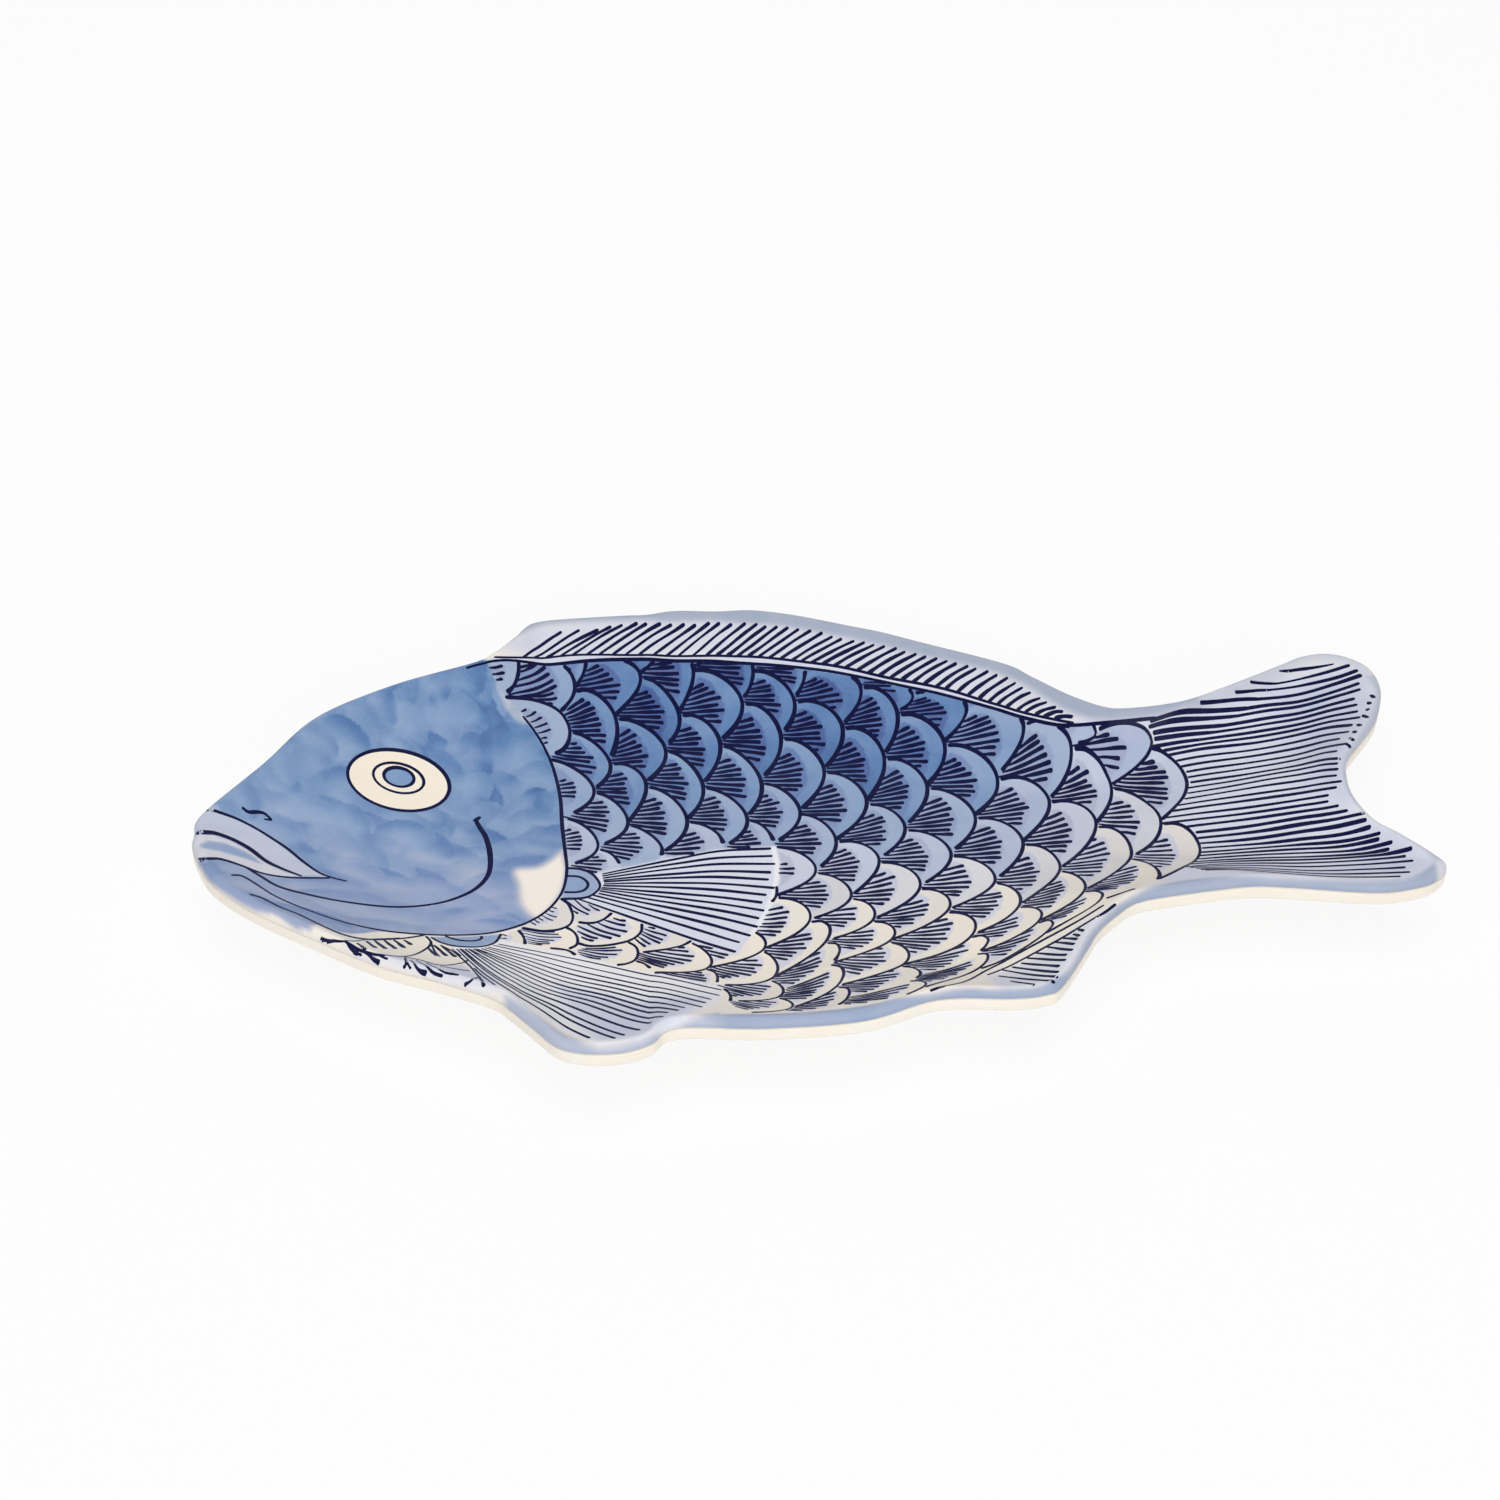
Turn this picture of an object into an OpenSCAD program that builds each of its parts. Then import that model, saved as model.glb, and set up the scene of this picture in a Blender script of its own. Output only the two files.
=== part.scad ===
// Fish shaped ceramic serving platter.
// A dish of white clay with a fish outline, pressed in a mould, carries a foot strip stuck on underneath.
// Clear glaze coats the painted face, the back and the well inside the foot.
// The ground face of the foot is bare.
// The fish lies on its side, with its snout at -X, its tail at +X and its back at +Y. The floor is z = 0.

/* [Platter] */
// Overall length, snout to tail tips
platter_len = 360; // [250:5:450]
// Overall width, top of the dorsal fin to tip of the pelvic fin
platter_w = 185; // [130:5:230]
// Overall height, ground to the top of the rim
platter_h = 27; // [24:0.5:40]

/* [Floor of the dish] */
// Length of the flat floor
floor_len = 190; // [120:5:210]
// Width of the flat floor
floor_w = 72; // [40:2:90]
// Distance from the middle of the platter to the middle of the floor and foot, towards the head
floor_shift = 18; // [5:1:30]
// Thickness of the clay under the floor
floor_t = 5; // [3.5:0.5:7]

/* [Rim] */
// Radius of the rounded top of the rim
lip_r = 2.5; // [1.5:0.25:3]
// Height of the thick edge under the top of the rim
edge_h = 8; // [5:0.5:10]
// Radius that rounds the edge into the underside
under_r = 1.5; // [1:0.25:2]

/* [Foot] */
// Length of the flat underside that carries the foot
foot_len = 216; // [200:2:240]
// Width of the flat underside that carries the foot
foot_w = 88; // [80:2:100]
// Height of the foot strip
foot_h = 5; // [3:0.5:7]
// Width of the foot strip
foot_wall = 5; // [3:0.5:8]
// Distance of the foot strip from the edge of the flat underside
foot_set_in = 2; // [1:0.5:4]

/* [Glaze] */
// Thickness of the clear glaze
glaze_t = 0.4; // [0.2:0.1:0.8]
// Height of bare clay that the glaze leaves above the ground
bare_h = 1; // [0.5:0.5:2]

/* [Hidden] */

clay_color = "linen";
face_color = "cornflowerblue";
back_color = "ivory";

// The fish outline, clockwise from the snout.
// Each row holds x as a share of half the length, y as a share of half the width,
// and the direction in degrees round the floor where the wall from that point lands.
outline_shares = [
    // Snout, forehead and nape
    [-1.000, 0.030, 178], [-0.990, 0.120, 172], [-0.895, 0.342, 158], [-0.810, 0.553, 147],
    [-0.680, 0.695, 137], [-0.545, 0.785, 127],
    // Dorsal fin
    [-0.510, 0.825, 124], [-0.470, 0.905, 121], [-0.445, 0.965, 118], [-0.415, 0.985, 116],
    [-0.355, 0.990, 112], [-0.275, 0.990, 107], [-0.235, 0.988, 105], [-0.185, 1.000, 102],
    [-0.115, 0.985, 98],
    [-0.050, 0.980, 94], [0.025, 0.940, 89], [0.120, 0.865, 82], [0.170, 0.825, 78],
    [0.235, 0.760, 72], [0.370, 0.625, 59], [0.415, 0.545, 54], [0.470, 0.445, 48],
    // Tail root, upper lobe, notch and lower lobe
    [0.520, 0.380, 43], [0.555, 0.365, 40], [0.630, 0.375, 36], [0.695, 0.410, 33],
    [0.840, 0.535, 28], [0.880, 0.570, 26], [0.925, 0.580, 23], [0.965, 0.550, 21], [0.995, 0.485, 18],
    [1.000, 0.380, 14], [0.975, 0.245, 9], [0.940, 0.150, 6], [0.905, 0.065, 3],
    [0.893, 0.000, 0],
    [0.890, -0.110, -4], [0.910, -0.230, -8], [0.945, -0.305, -11], [0.985, -0.400, -15],
    [1.000, -0.460, -18], [0.975, -0.515, -21], [0.935, -0.540, -24], [0.870, -0.545, -27],
    [0.740, -0.500, -32], [0.680, -0.485, -35], [0.600, -0.495, -39], [0.500, -0.520, -45],
    // Anal fin
    [0.455, -0.575, -49], [0.420, -0.640, -53], [0.395, -0.715, -57], [0.345, -0.855, -64],
    [0.315, -0.885, -67], [0.265, -0.890, -71],
    // Belly
    [0.150, -0.875, -80], [0.035, -0.940, -88], [-0.115, -0.945, -98], [-0.250, -0.920, -107],
    // Pelvic fin
    [-0.290, -0.975, -110], [-0.325, -1.000, -113], [-0.360, -1.005, -116], [-0.400, -0.995, -119],
    [-0.435, -0.965, -122], [-0.465, -0.895, -126], [-0.500, -0.810, -129], [-0.530, -0.750, -132],
    // Throat and lower jaw
    [-0.610, -0.670, -137], [-0.705, -0.585, -144], [-0.805, -0.455, -152], [-0.905, -0.315, -161],
    [-0.970, -0.185, -169], [-1.000, -0.045, -177]
];
// Places of the curve between two outline points
between_shares = [0, 0.5];
// How much narrower the floor and foot are towards the tail
egg_share = 0.25;
// Places of the mesh rings up the wall, from the floor to the rim
face_ring_shares = [0, 0.2, 0.4, 0.55, 0.7, 0.82, 0.92, 1];
// Places of the mesh rings down the underside, from the rim to the flat underside
under_ring_shares = [1, 0.82, 0.62, 0.42, 0.22, 0];
// Shares of half the length between which the wall turns from facing the floor to running along the tail
tail_start_share = 0.3;
tail_end_share = 0.7;
// Powers that curve the wall: 1 is a straight slope, and more makes it flatter near the floor
face_curve = 1.8;
under_curve = 1.4;

edge_z = platter_h - edge_h;
lip_z = platter_h - lip_r;
floor_z = foot_h + floor_t + glaze_t;

function lerp(a, b, share) = a + (b - a) * share;

// From 0 at or below zero to 1 at or above one, with level ends
function ease(t) =
    let (held = min(max(t, 0), 1))
    held * held * (3 - 2 * held);

// Smooth curve through the middle two of four rows
function smooth(a, b, c, d, t) =
    (2 * b + (c - a) * t + (2 * a - 5 * b + 4 * c - d) * t * t + (3 * b - a - 3 * c + d) * t * t * t) / 2;

// A direction row that follows on from the last one after a full turn
function turned(row, turns) = [row[0], row[1], row[2] - 360 * turns];

function outline_row(i) =
    let (count = len(outline_shares))
    turned(outline_shares[(i + count) % count], floor(i / count));

outline_rows = [
    for (i = [0:len(outline_shares) - 1])
        for (t = between_shares)
            smooth(outline_row(i - 1), outline_row(i), outline_row(i + 1), outline_row(i + 2), t)
];
directions = [for (row = outline_rows) row[2]];
x_shares = [for (row = outline_rows) row[0]];
y_shares = [for (row = outline_rows) row[1]];

// A list of places moved and scaled so that it spans the given size, with its middle at zero
function spread(places, size) =
    let (low = min(places), high = max(places))
    [for (place = places) ((place - low) / (high - low) - 1 / 2) * size];

rim_x = spread(x_shares, platter_len);
rim_y = spread(y_shares, platter_w);
rim_path = [for (i = [0:len(rim_x) - 1]) [rim_x[i], rim_y[i]]];

// An egg round the middle of the floor, with one point for each point of the outline
function egg_path(length, width) = [
    for (a = directions)
        [length / 2 * cos(a) - floor_shift, width / 2 * sin(a) * (1 - egg_share * cos(a))]
];

floor_path = egg_path(floor_len, floor_w);
foot_path = egg_path(foot_len, foot_w);

// A closed clockwise path moved inwards by a distance
function inset(path, distance) =
    let (count = len(path))
    [
        for (i = [0:count - 1])
            let (
                along = path[(i + 1) % count] - path[(i + count - 1) % count],
                inward = [along[1], -along[0]] / norm(along)
            )
            path[i] + inward * distance
    ];

function ring_at(path, z) = [for (p = path) [p[0], p[1], z]];

function edge_ring(distance, z) = ring_at(inset(rim_path, distance), z);

// How far a rim point belongs to the tail: 0 on the body and 1 in the tail
function tail_part(rim_point) =
    ease((rim_point[0] / (platter_len / 2) - tail_start_share) / (tail_end_share - tail_start_share));

// A place on the line up the wall.
// On the body it is straight; in the tail it first runs along the tail, then fans out.
function wall_point(from, to, share) =
    let (
        middle = (from + to) / 2,
        turn = [middle[0], lerp(middle[1], from[1], tail_part(to))]
    )
    lerp(lerp(from, turn, share), lerp(turn, to, share), share);

function wall_ring(from_path, to_path, share, z) =
    ring_at([for (i = [0:len(from_path) - 1]) wall_point(from_path[i], to_path[i], share)], z);

// Rings from the middle of the dish out over the rounded lip, at a depth under the glazed surface
function face_rings(depth) = concat(
    [
        for (share = face_ring_shares)
            wall_ring(
                floor_path, inset(rim_path, lip_r), share,
                lerp(floor_z, platter_h, pow(share, face_curve)) - depth
            )
    ],
    [
        for (a = [45, 90])
            edge_ring(lip_r - (lip_r - depth) * sin(a), lip_z + (lip_r - depth) * cos(a))
    ]
);

// Rings from the lip down the thick edge and in along the underside to the flat that carries the foot
function back_rings(depth) = concat(
    [edge_ring(depth, lip_z)],
    [
        for (a = [0, 45])
            edge_ring(
                under_r - (under_r - depth) * cos(a),
                edge_z + under_r - (under_r - depth) * sin(a)
            )
    ],
    [
        for (share = under_ring_shares)
            wall_ring(
                foot_path, inset(rim_path, under_r), share,
                lerp(foot_h - glaze_t, edge_z, pow(share, under_curve)) + depth
            )
    ]
);

// Rings of the glaze on the outside of the foot strip, at a depth under the glazed surface
function foot_rings(depth) = [
    ring_at(inset(foot_path, foot_set_in - glaze_t + depth), foot_h - glaze_t + depth),
    ring_at(inset(foot_path, foot_set_in - glaze_t + depth), bare_h)
];

function reversed(list) = [for (i = [len(list) - 1:-1:0]) list[i]];

function joined(lists) = [for (list = lists) each list];

// Two triangles between each pair of neighbouring points on rings a and b.
// A band that runs back the other way splits along the other diagonal,
// so that skins that touch share their triangles.
function band(a, b, count, back) = [
    for (i = [0:count - 1])
        let (
            next = (i + 1) % count,
            corners = [a * count + i, b * count + i, b * count + next, a * count + next],
            first = back ? 1 : 0
        )
        each [
            [corners[0], corners[1], corners[2 + first]],
            [corners[first], corners[2], corners[3]]
        ]
];

// A solid through a stack of rings, with a flat cap on the first and on the last.
// The rings run back from ring turn.
module capped_stack(rings, turn) {
    count = len(rings[0]);
    last = len(rings) - 1;
    first_cap = [for (i = [0:count - 1]) i];
    last_cap = [for (i = [count - 1:-1:0]) last * count + i];
    bands = [for (k = [0:last - 1]) each band(k, k + 1, count, k >= turn)];
    polyhedron(joined(rings), concat([first_cap], bands, [last_cap]));
}

// A solid ring through a loop of rings, the last one joined to the first.
// The rings run back from ring turn.
module looped_stack(rings, turn) {
    count = len(rings[0]);
    bands = [for (k = [0:len(rings) - 1]) each band(k, (k + 1) % len(rings), count, k >= turn)];
    polyhedron(joined(rings), bands);
}

// Clay dish, from its floor up the wall, over the rim and back along the underside
module dish_body() {
    back = back_rings(glaze_t);
    rings = concat(face_rings(glaze_t), [for (i = [1:len(back) - 1]) back[i]]);
    color(clay_color)
        capped_stack(rings, len(rings));
}

// Clay strip stuck on under the dish; its bare lower face rests on the table
module foot_ring() {
    color(clay_color)
        linear_extrude(foot_h)
            difference() {
                polygon(inset(foot_path, foot_set_in));
                polygon(inset(foot_path, foot_set_in + foot_wall));
            }
}

// Clear glaze over the painted face and the rounded lip
module face_glaze() {
    outside = face_rings(0);
    color(face_color)
        capped_stack(concat(outside, reversed(face_rings(glaze_t))), len(outside));
}

// Clear glaze down the edge, along the underside and down the outside of the foot
module back_glaze() {
    outside = concat(back_rings(0), foot_rings(0));
    inside = concat(back_rings(glaze_t), foot_rings(glaze_t));
    color(back_color)
        looped_stack(concat(outside, reversed(inside)), len(outside));
}

// Clear glaze on the underside within the foot and down the inside of the foot
module well_glaze() {
    inner_wall = foot_set_in + foot_wall;
    color(back_color)
        translate([0, 0, bare_h])
            linear_extrude(foot_h - bare_h)
                difference() {
                    polygon(inset(foot_path, inner_wall));
                    polygon(inset(foot_path, inner_wall + glaze_t));
                }
    color(back_color)
        translate([0, 0, foot_h - glaze_t])
            linear_extrude(glaze_t)
                polygon(inset(foot_path, inner_wall));
}

dish_body();
foot_ring();
face_glaze();
back_glaze();
well_glaze();
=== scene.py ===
import math
import random

import bpy
import numpy as np
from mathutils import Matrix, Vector, geometry, interpolate
from mathutils.bvhtree import BVHTree


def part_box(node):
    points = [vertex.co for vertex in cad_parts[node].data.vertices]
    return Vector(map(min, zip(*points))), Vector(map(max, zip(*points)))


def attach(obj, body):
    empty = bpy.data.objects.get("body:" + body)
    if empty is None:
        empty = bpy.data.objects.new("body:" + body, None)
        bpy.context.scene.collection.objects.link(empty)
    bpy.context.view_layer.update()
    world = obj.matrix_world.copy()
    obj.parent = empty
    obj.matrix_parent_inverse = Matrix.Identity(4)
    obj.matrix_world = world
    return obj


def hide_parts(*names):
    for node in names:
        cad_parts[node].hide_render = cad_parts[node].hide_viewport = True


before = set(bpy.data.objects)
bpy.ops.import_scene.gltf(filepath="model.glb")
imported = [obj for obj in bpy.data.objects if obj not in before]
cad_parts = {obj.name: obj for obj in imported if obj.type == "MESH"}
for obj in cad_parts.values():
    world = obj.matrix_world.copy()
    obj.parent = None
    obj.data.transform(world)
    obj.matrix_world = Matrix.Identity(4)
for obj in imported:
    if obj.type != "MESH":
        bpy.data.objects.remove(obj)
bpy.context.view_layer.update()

# A fish shaped platter: a pressed dish of white clay with cobalt blue brushwork under a clear glaze.
# Places on the dish are in millimetres until a mesh is made. The fish's snout is at -X and its back at +Y.
MM = 0.001
rng = random.Random(11)

# Sizes of the dish, as in the solids
low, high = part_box("back_glaze")
top_low, top_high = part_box("face_glaze")
PLATTER_LEN = (high.x - low.x) / MM
PLATTER_W = (high.y - low.y) / MM
PLATTER_H = top_high.z / MM
FLOOR_LEN, FLOOR_W, FLOOR_SHIFT = 190, 72, 18
FOOT_LEN, FOOT_W, FOOT_H, FOOT_WALL, FOOT_SET_IN = 216, 88, 5, 5, 2
FLOOR_T, GLAZE_T, BARE_H = 5, 0.4, 1
LIP_R, EDGE_H, UNDER_R = 2.5, 8, 1.5
EDGE_Z = PLATTER_H - EDGE_H
LIP_Z = PLATTER_H - LIP_R
FLOOR_Z = FOOT_H + FLOOR_T + GLAZE_T
EGG_SHARE = 0.25
FACE_CURVE, UNDER_CURVE = 1.8, 1.4
TAIL_START, TAIL_END = 0.3, 0.7

# The fish outline, clockwise from the snout: x and y as shares of half the length and half the width,
# and the direction in degrees round the floor where the wall from that point lands
OUTLINE = [
    (-1.000, 0.030, 178), (-0.990, 0.120, 172), (-0.895, 0.342, 158), (-0.810, 0.553, 147),
    (-0.680, 0.695, 137), (-0.545, 0.785, 127),
    (-0.510, 0.825, 124), (-0.470, 0.905, 121), (-0.445, 0.965, 118), (-0.415, 0.985, 116),
    (-0.355, 0.990, 112), (-0.275, 0.990, 107), (-0.235, 0.988, 105), (-0.185, 1.000, 102),
    (-0.115, 0.985, 98),
    (-0.050, 0.980, 94), (0.025, 0.940, 89), (0.120, 0.865, 82), (0.170, 0.825, 78),
    (0.235, 0.760, 72), (0.370, 0.625, 59), (0.415, 0.545, 54), (0.470, 0.445, 48),
    (0.520, 0.380, 43), (0.555, 0.365, 40), (0.630, 0.375, 36), (0.695, 0.410, 33),
    (0.840, 0.535, 28), (0.880, 0.570, 26), (0.925, 0.580, 23), (0.965, 0.550, 21), (0.995, 0.485, 18),
    (1.000, 0.380, 14), (0.975, 0.245, 9), (0.940, 0.150, 6), (0.905, 0.065, 3),
    (0.893, 0.000, 0),
    (0.890, -0.110, -4), (0.910, -0.230, -8), (0.945, -0.305, -11), (0.985, -0.400, -15),
    (1.000, -0.460, -18), (0.975, -0.515, -21), (0.935, -0.540, -24), (0.870, -0.545, -27),
    (0.740, -0.500, -32), (0.680, -0.485, -35), (0.600, -0.495, -39), (0.500, -0.520, -45),
    (0.455, -0.575, -49), (0.420, -0.640, -53), (0.395, -0.715, -57), (0.345, -0.855, -64),
    (0.315, -0.885, -67), (0.265, -0.890, -71),
    (0.150, -0.875, -80), (0.035, -0.940, -88), (-0.115, -0.945, -98), (-0.250, -0.920, -107),
    (-0.290, -0.975, -110), (-0.325, -1.000, -113), (-0.360, -1.005, -116), (-0.400, -0.995, -119),
    (-0.435, -0.965, -122), (-0.465, -0.895, -126), (-0.500, -0.810, -129), (-0.530, -0.750, -132),
    (-0.610, -0.670, -137), (-0.705, -0.585, -144), (-0.805, -0.455, -152), (-0.905, -0.315, -161),
    (-0.970, -0.185, -169), (-1.000, -0.045, -177),
]


def lerp(a, b, share):
    return a + (b - a) * share


def ease(t):
    held = np.clip(t, 0, 1)
    return held * held * (3 - 2 * held)


def smooth(a, b, c, d, t):
    """A point of the smooth curve through the middle two of four."""
    return (2 * b + (c - a) * t + (2 * a - 5 * b + 4 * c - d) * t ** 2 + (3 * b - a - 3 * c + d) * t ** 3) / 2


# The dish

def outline(steps):
    """The rim path and its directions, with that many points for each row of the table."""
    rows = np.array(OUTLINE, float)
    turn = np.array([0, 0, 360.0])
    rows = np.vstack([rows[-1:] + turn, rows, rows[:2] - turn])
    points = np.array([
        smooth(*rows[i:i + 4], t)
        for i in range(len(OUTLINE)) for t in np.arange(steps) / steps
    ])
    path = points[:, :2]
    span = path.max(0) - path.min(0)
    path = ((path - path.min(0)) / span - 0.5) * (PLATTER_LEN, PLATTER_W)
    return path, np.radians(points[:, 2])


def egg(angles, length, width):
    return np.stack([
        length / 2 * np.cos(angles) - FLOOR_SHIFT,
        width / 2 * np.sin(angles) * (1 - EGG_SHARE * np.cos(angles)),
    ], 1)


def inset(path, distance):
    along = np.roll(path, -1, 0) - np.roll(path, 1, 0)
    inward = np.stack([along[:, 1], -along[:, 0]], 1) / np.linalg.norm(along, axis=1)[:, None]
    return path + inward * distance


def at_height(path, z):
    return np.column_stack([path, np.full(len(path), z)])


def wall_path(start, end, share):
    """A path up the wall; in the tail it first runs along the tail, then fans out."""
    tail = ease((end[:, 0] / (PLATTER_LEN / 2) - TAIL_START) / (TAIL_END - TAIL_START))
    middle = (start + end) / 2
    turn = np.stack([middle[:, 0], lerp(middle[:, 1], start[:, 1], tail)], 1)
    return lerp(lerp(start, turn, share), lerp(turn, end, share), share)


class Dish:
    """Rings of the dish's surfaces, drawn with a number of points for each row of the outline."""

    def __init__(self, steps):
        self.rim, angles = outline(steps)
        self.floor = egg(angles, FLOOR_LEN, FLOOR_W)
        self.under = egg(angles, FOOT_LEN, FOOT_W)

    def edge_ring(self, distance, z):
        return at_height(inset(self.rim, distance), z)

    def floor_rings(self, shares, depth=0):
        centre = np.array([-FLOOR_SHIFT, 0])
        return [at_height(centre + (self.floor - centre) * share, FLOOR_Z - depth) for share in shares]

    def wall_rings(self, shares, depth=0):
        end = inset(self.rim, LIP_R)
        return [
            at_height(wall_path(self.floor, end, share),
                      lerp(FLOOR_Z, PLATTER_H, share ** FACE_CURVE) - depth)
            for share in shares
        ]

    def lip_rings(self, angles, depth=0):
        r = LIP_R - depth
        return [self.edge_ring(LIP_R - r * math.sin(a), LIP_Z + r * math.cos(a)) for a in np.radians(angles)]

    def edge_rings(self, depth=0):
        r = UNDER_R - depth
        heights = np.linspace(LIP_Z, EDGE_Z + UNDER_R, 4)[1:-1]
        return [self.edge_ring(depth, z) for z in heights] + [
            self.edge_ring(UNDER_R - r * math.cos(a), EDGE_Z + UNDER_R - r * math.sin(a))
            for a in np.radians((0, 22, 45, 68))
        ]

    def under_rings(self, shares, depth=0):
        end = inset(self.rim, UNDER_R)
        return [
            at_height(wall_path(self.under, end, share),
                      lerp(FOOT_H - GLAZE_T, EDGE_Z, share ** UNDER_CURVE) + depth)
            for share in shares
        ]

    def foot_ring(self, distance, z):
        return at_height(inset(self.under, FOOT_SET_IN + distance), z)


def band_faces(count, a, b):
    """Quads between ring a and ring b of that many points."""
    here = np.arange(count)
    after = (here + 1) % count
    return np.stack([a * count + after, b * count + after, b * count + here, a * count + here], 1)


def stack_faces(count, rings, looped=False, caps=()):
    faces = [tuple(f) for k in range(rings - 1) for f in band_faces(count, k, k + 1).tolist()]
    if looped:
        faces += [tuple(f) for f in band_faces(count, rings - 1, 0).tolist()]
    if "first" in caps:
        faces.append(tuple(range(count - 1, -1, -1)))
    if "last" in caps:
        faces.append(tuple(range((rings - 1) * count, rings * count)))
    return faces


def make_piece(name, points, faces, material, normals=None):
    """A smooth piece made of points in millimetres, riding on the platter."""
    mesh = bpy.data.meshes.new(name)
    mesh.from_pydata((np.asarray(points) * MM).tolist(), [], faces)
    mesh.materials.append(material)
    mesh.shade_smooth()
    if normals is not None:
        mesh.normals_split_custom_set_from_vertices(np.asarray(normals).tolist())
    piece = bpy.data.objects.new(name, mesh)
    bpy.context.scene.collection.objects.link(piece)
    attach(piece, "root")
    return piece


def add_numbers(piece, name, values):
    """One number for each vertex, which the material reads."""
    layer = piece.data.attributes.new(name, "FLOAT", "POINT")
    layer.data.foreach_set("value", np.asarray(values, np.float32))


# Camera

CAMERA_RISE, CAMERA_TURN = math.radians(42), math.radians(5.08)
CAMERA_AIM = Vector((-12.8, 53.4, 0))
CAMERA_DISTANCE = 936.9
LENS, SENSOR = 72, 36
PHOTO_SIZE = 1500

forward = Vector((
    math.sin(CAMERA_TURN) * math.cos(CAMERA_RISE),
    math.cos(CAMERA_TURN) * math.cos(CAMERA_RISE),
    -math.sin(CAMERA_RISE),
))
right = forward.cross(Vector((0, 0, 1))).normalized()
upward = right.cross(forward)
camera_place = CAMERA_AIM - forward * CAMERA_DISTANCE

camera = bpy.data.objects.new("camera", bpy.data.cameras.new("camera"))
camera.data.lens = LENS
camera.data.sensor_width = SENSOR
camera.location = camera_place * MM
camera.rotation_euler = forward.to_track_quat("-Z", "Y").to_euler()
bpy.context.scene.collection.objects.link(camera)
bpy.context.scene.camera = camera


# The painted surface, as a fine mesh that every brush stroke is laid on

class Surface:
    # Well over the dish, where the rays that look for its face start
    OVERHEAD = 100

    def __init__(self, rings):
        count = len(rings[0])
        points = np.concatenate(rings)
        quads = np.concatenate([band_faces(count, k, k + 1) for k in range(len(rings) - 1)])
        corners = points[quads]
        facing = np.cross(corners[:, 2] - corners[:, 0], corners[:, 3] - corners[:, 1])
        normals = np.zeros_like(points)
        for i in range(4):
            np.add.at(normals, quads[:, i], facing)
        normals *= np.sign(normals[:, 2].sum())
        normals /= np.linalg.norm(normals, axis=1)[:, None]
        triangles = np.concatenate([quads[:, (0, 1, 2)], quads[:, (0, 2, 3)]])
        self.points = [Vector(p) for p in points.tolist()]
        self.normals = normals
        self.triangles = triangles.tolist()
        self.tree = BVHTree.FromPolygons(self.points, self.triangles)

    def normal(self, place, index):
        corners = self.triangles[index]
        weights = interpolate.poly_3d_calc([self.points[i] for i in corners], place)
        n = sum(w * self.normals[i] for w, i in zip(weights, corners))
        return n / np.linalg.norm(n)

    def under(self, x, y):
        """The place and normal of the dish right under (x, y), or None beside the dish."""
        place, _, index, _ = self.tree.ray_cast(Vector((x, y, self.OVERHEAD)), Vector((0, 0, -1)))
        if place is None:
            return None
        return np.array(place), self.normal(place, index)

    def near(self, x, y, z):
        place, _, index, _ = self.tree.find_nearest(Vector((x, y, z)))
        return np.array(place), self.normal(place, index)

    def at(self, x, y):
        """The place and normal under (x, y), or the nearest ones on the rim beside the dish."""
        return self.under(x, y) or self.near(x, y, PLATTER_H)


FLOOR_SHARES = np.linspace(0.01, 1, 24)[:-1]
WALL_SHARES = np.linspace(0, 1, 34)
LIP_ANGLES = (15, 30, 45, 60, 75, 90)
dish = Dish(8)
surface = Surface(
    dish.floor_rings(FLOOR_SHARES) + dish.wall_rings(WALL_SHARES)
    + dish.lip_rings(LIP_ANGLES) + dish.edge_rings()[:2]
)


def seen(px, py):
    """The place on the dish that shows at a pixel of the photograph."""
    half = PHOTO_SIZE / 2
    focal = LENS / SENSOR * PHOTO_SIZE
    ray = forward * focal + right * (px - half) + upward * (half - py)
    place, _, _, _ = surface.tree.ray_cast(camera_place, ray.normalized())
    if place is None:
        start = camera_place + ray * ((PLATTER_H - camera_place.z) / ray.z)
        place, _, _, _ = surface.tree.find_nearest(start)
    return np.array((place.x, place.y))


def seen_path(pixels):
    return np.array([seen(*pixel) for pixel in pixels])


def curve_through(points, spacing=1.0):
    """An even, smooth path through given points."""
    points = np.asarray(points, float)
    if len(points) == 2:
        points = np.array([points[0], lerp(points[0], points[1], 0.5), points[1]])
    ends = np.vstack([2 * points[0] - points[1], points, 2 * points[-1] - points[-2]])
    fine = [
        smooth(*ends[i:i + 4], t)
        for i in range(len(points) - 1) for t in np.arange(8) / 8
    ] + [points[-1]]
    return evenly(np.array(fine), spacing)


def walked(path):
    """How far along the path each of its points is."""
    return np.concatenate([[0], np.cumsum(np.linalg.norm(np.diff(path, axis=0), axis=1))])


def evenly(path, spacing):
    length = walked(path)
    count = max(4, int(math.ceil(length[-1] / spacing)) + 1)
    where = np.linspace(0, length[-1], count)
    return np.stack([np.interp(where, length, column) for column in path.T], 1)


def along(path, share):
    length = walked(path)
    return np.array([np.interp(share * length[-1], length, column) for column in path.T])


def inside(area, points):
    """Which of the points lie in the area, a closed path."""
    x, y = points[:, 0], points[:, 1]
    found = np.zeros(len(points), bool)
    for (x1, y1), (x2, y2) in zip(area, np.roll(area, -1, 0)):
        if y1 != y2:
            crossed = ((y1 > y) != (y2 > y)) & (x < (x2 - x1) * (y - y1) / (y2 - y1) + x1)
            found ^= crossed
    return found


def distance_to(path, points):
    """How far each point is from an open path."""
    nearest = np.full(len(points), 1e9)
    for a, b in zip(path[:-1], path[1:]):
        d = b - a
        t = np.clip(((points - a) @ d) / max(d @ d, 1e-9), 0, 1)
        nearest = np.minimum(nearest, np.linalg.norm(points - a - t[:, None] * d, axis=1))
    return nearest


# Materials

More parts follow.
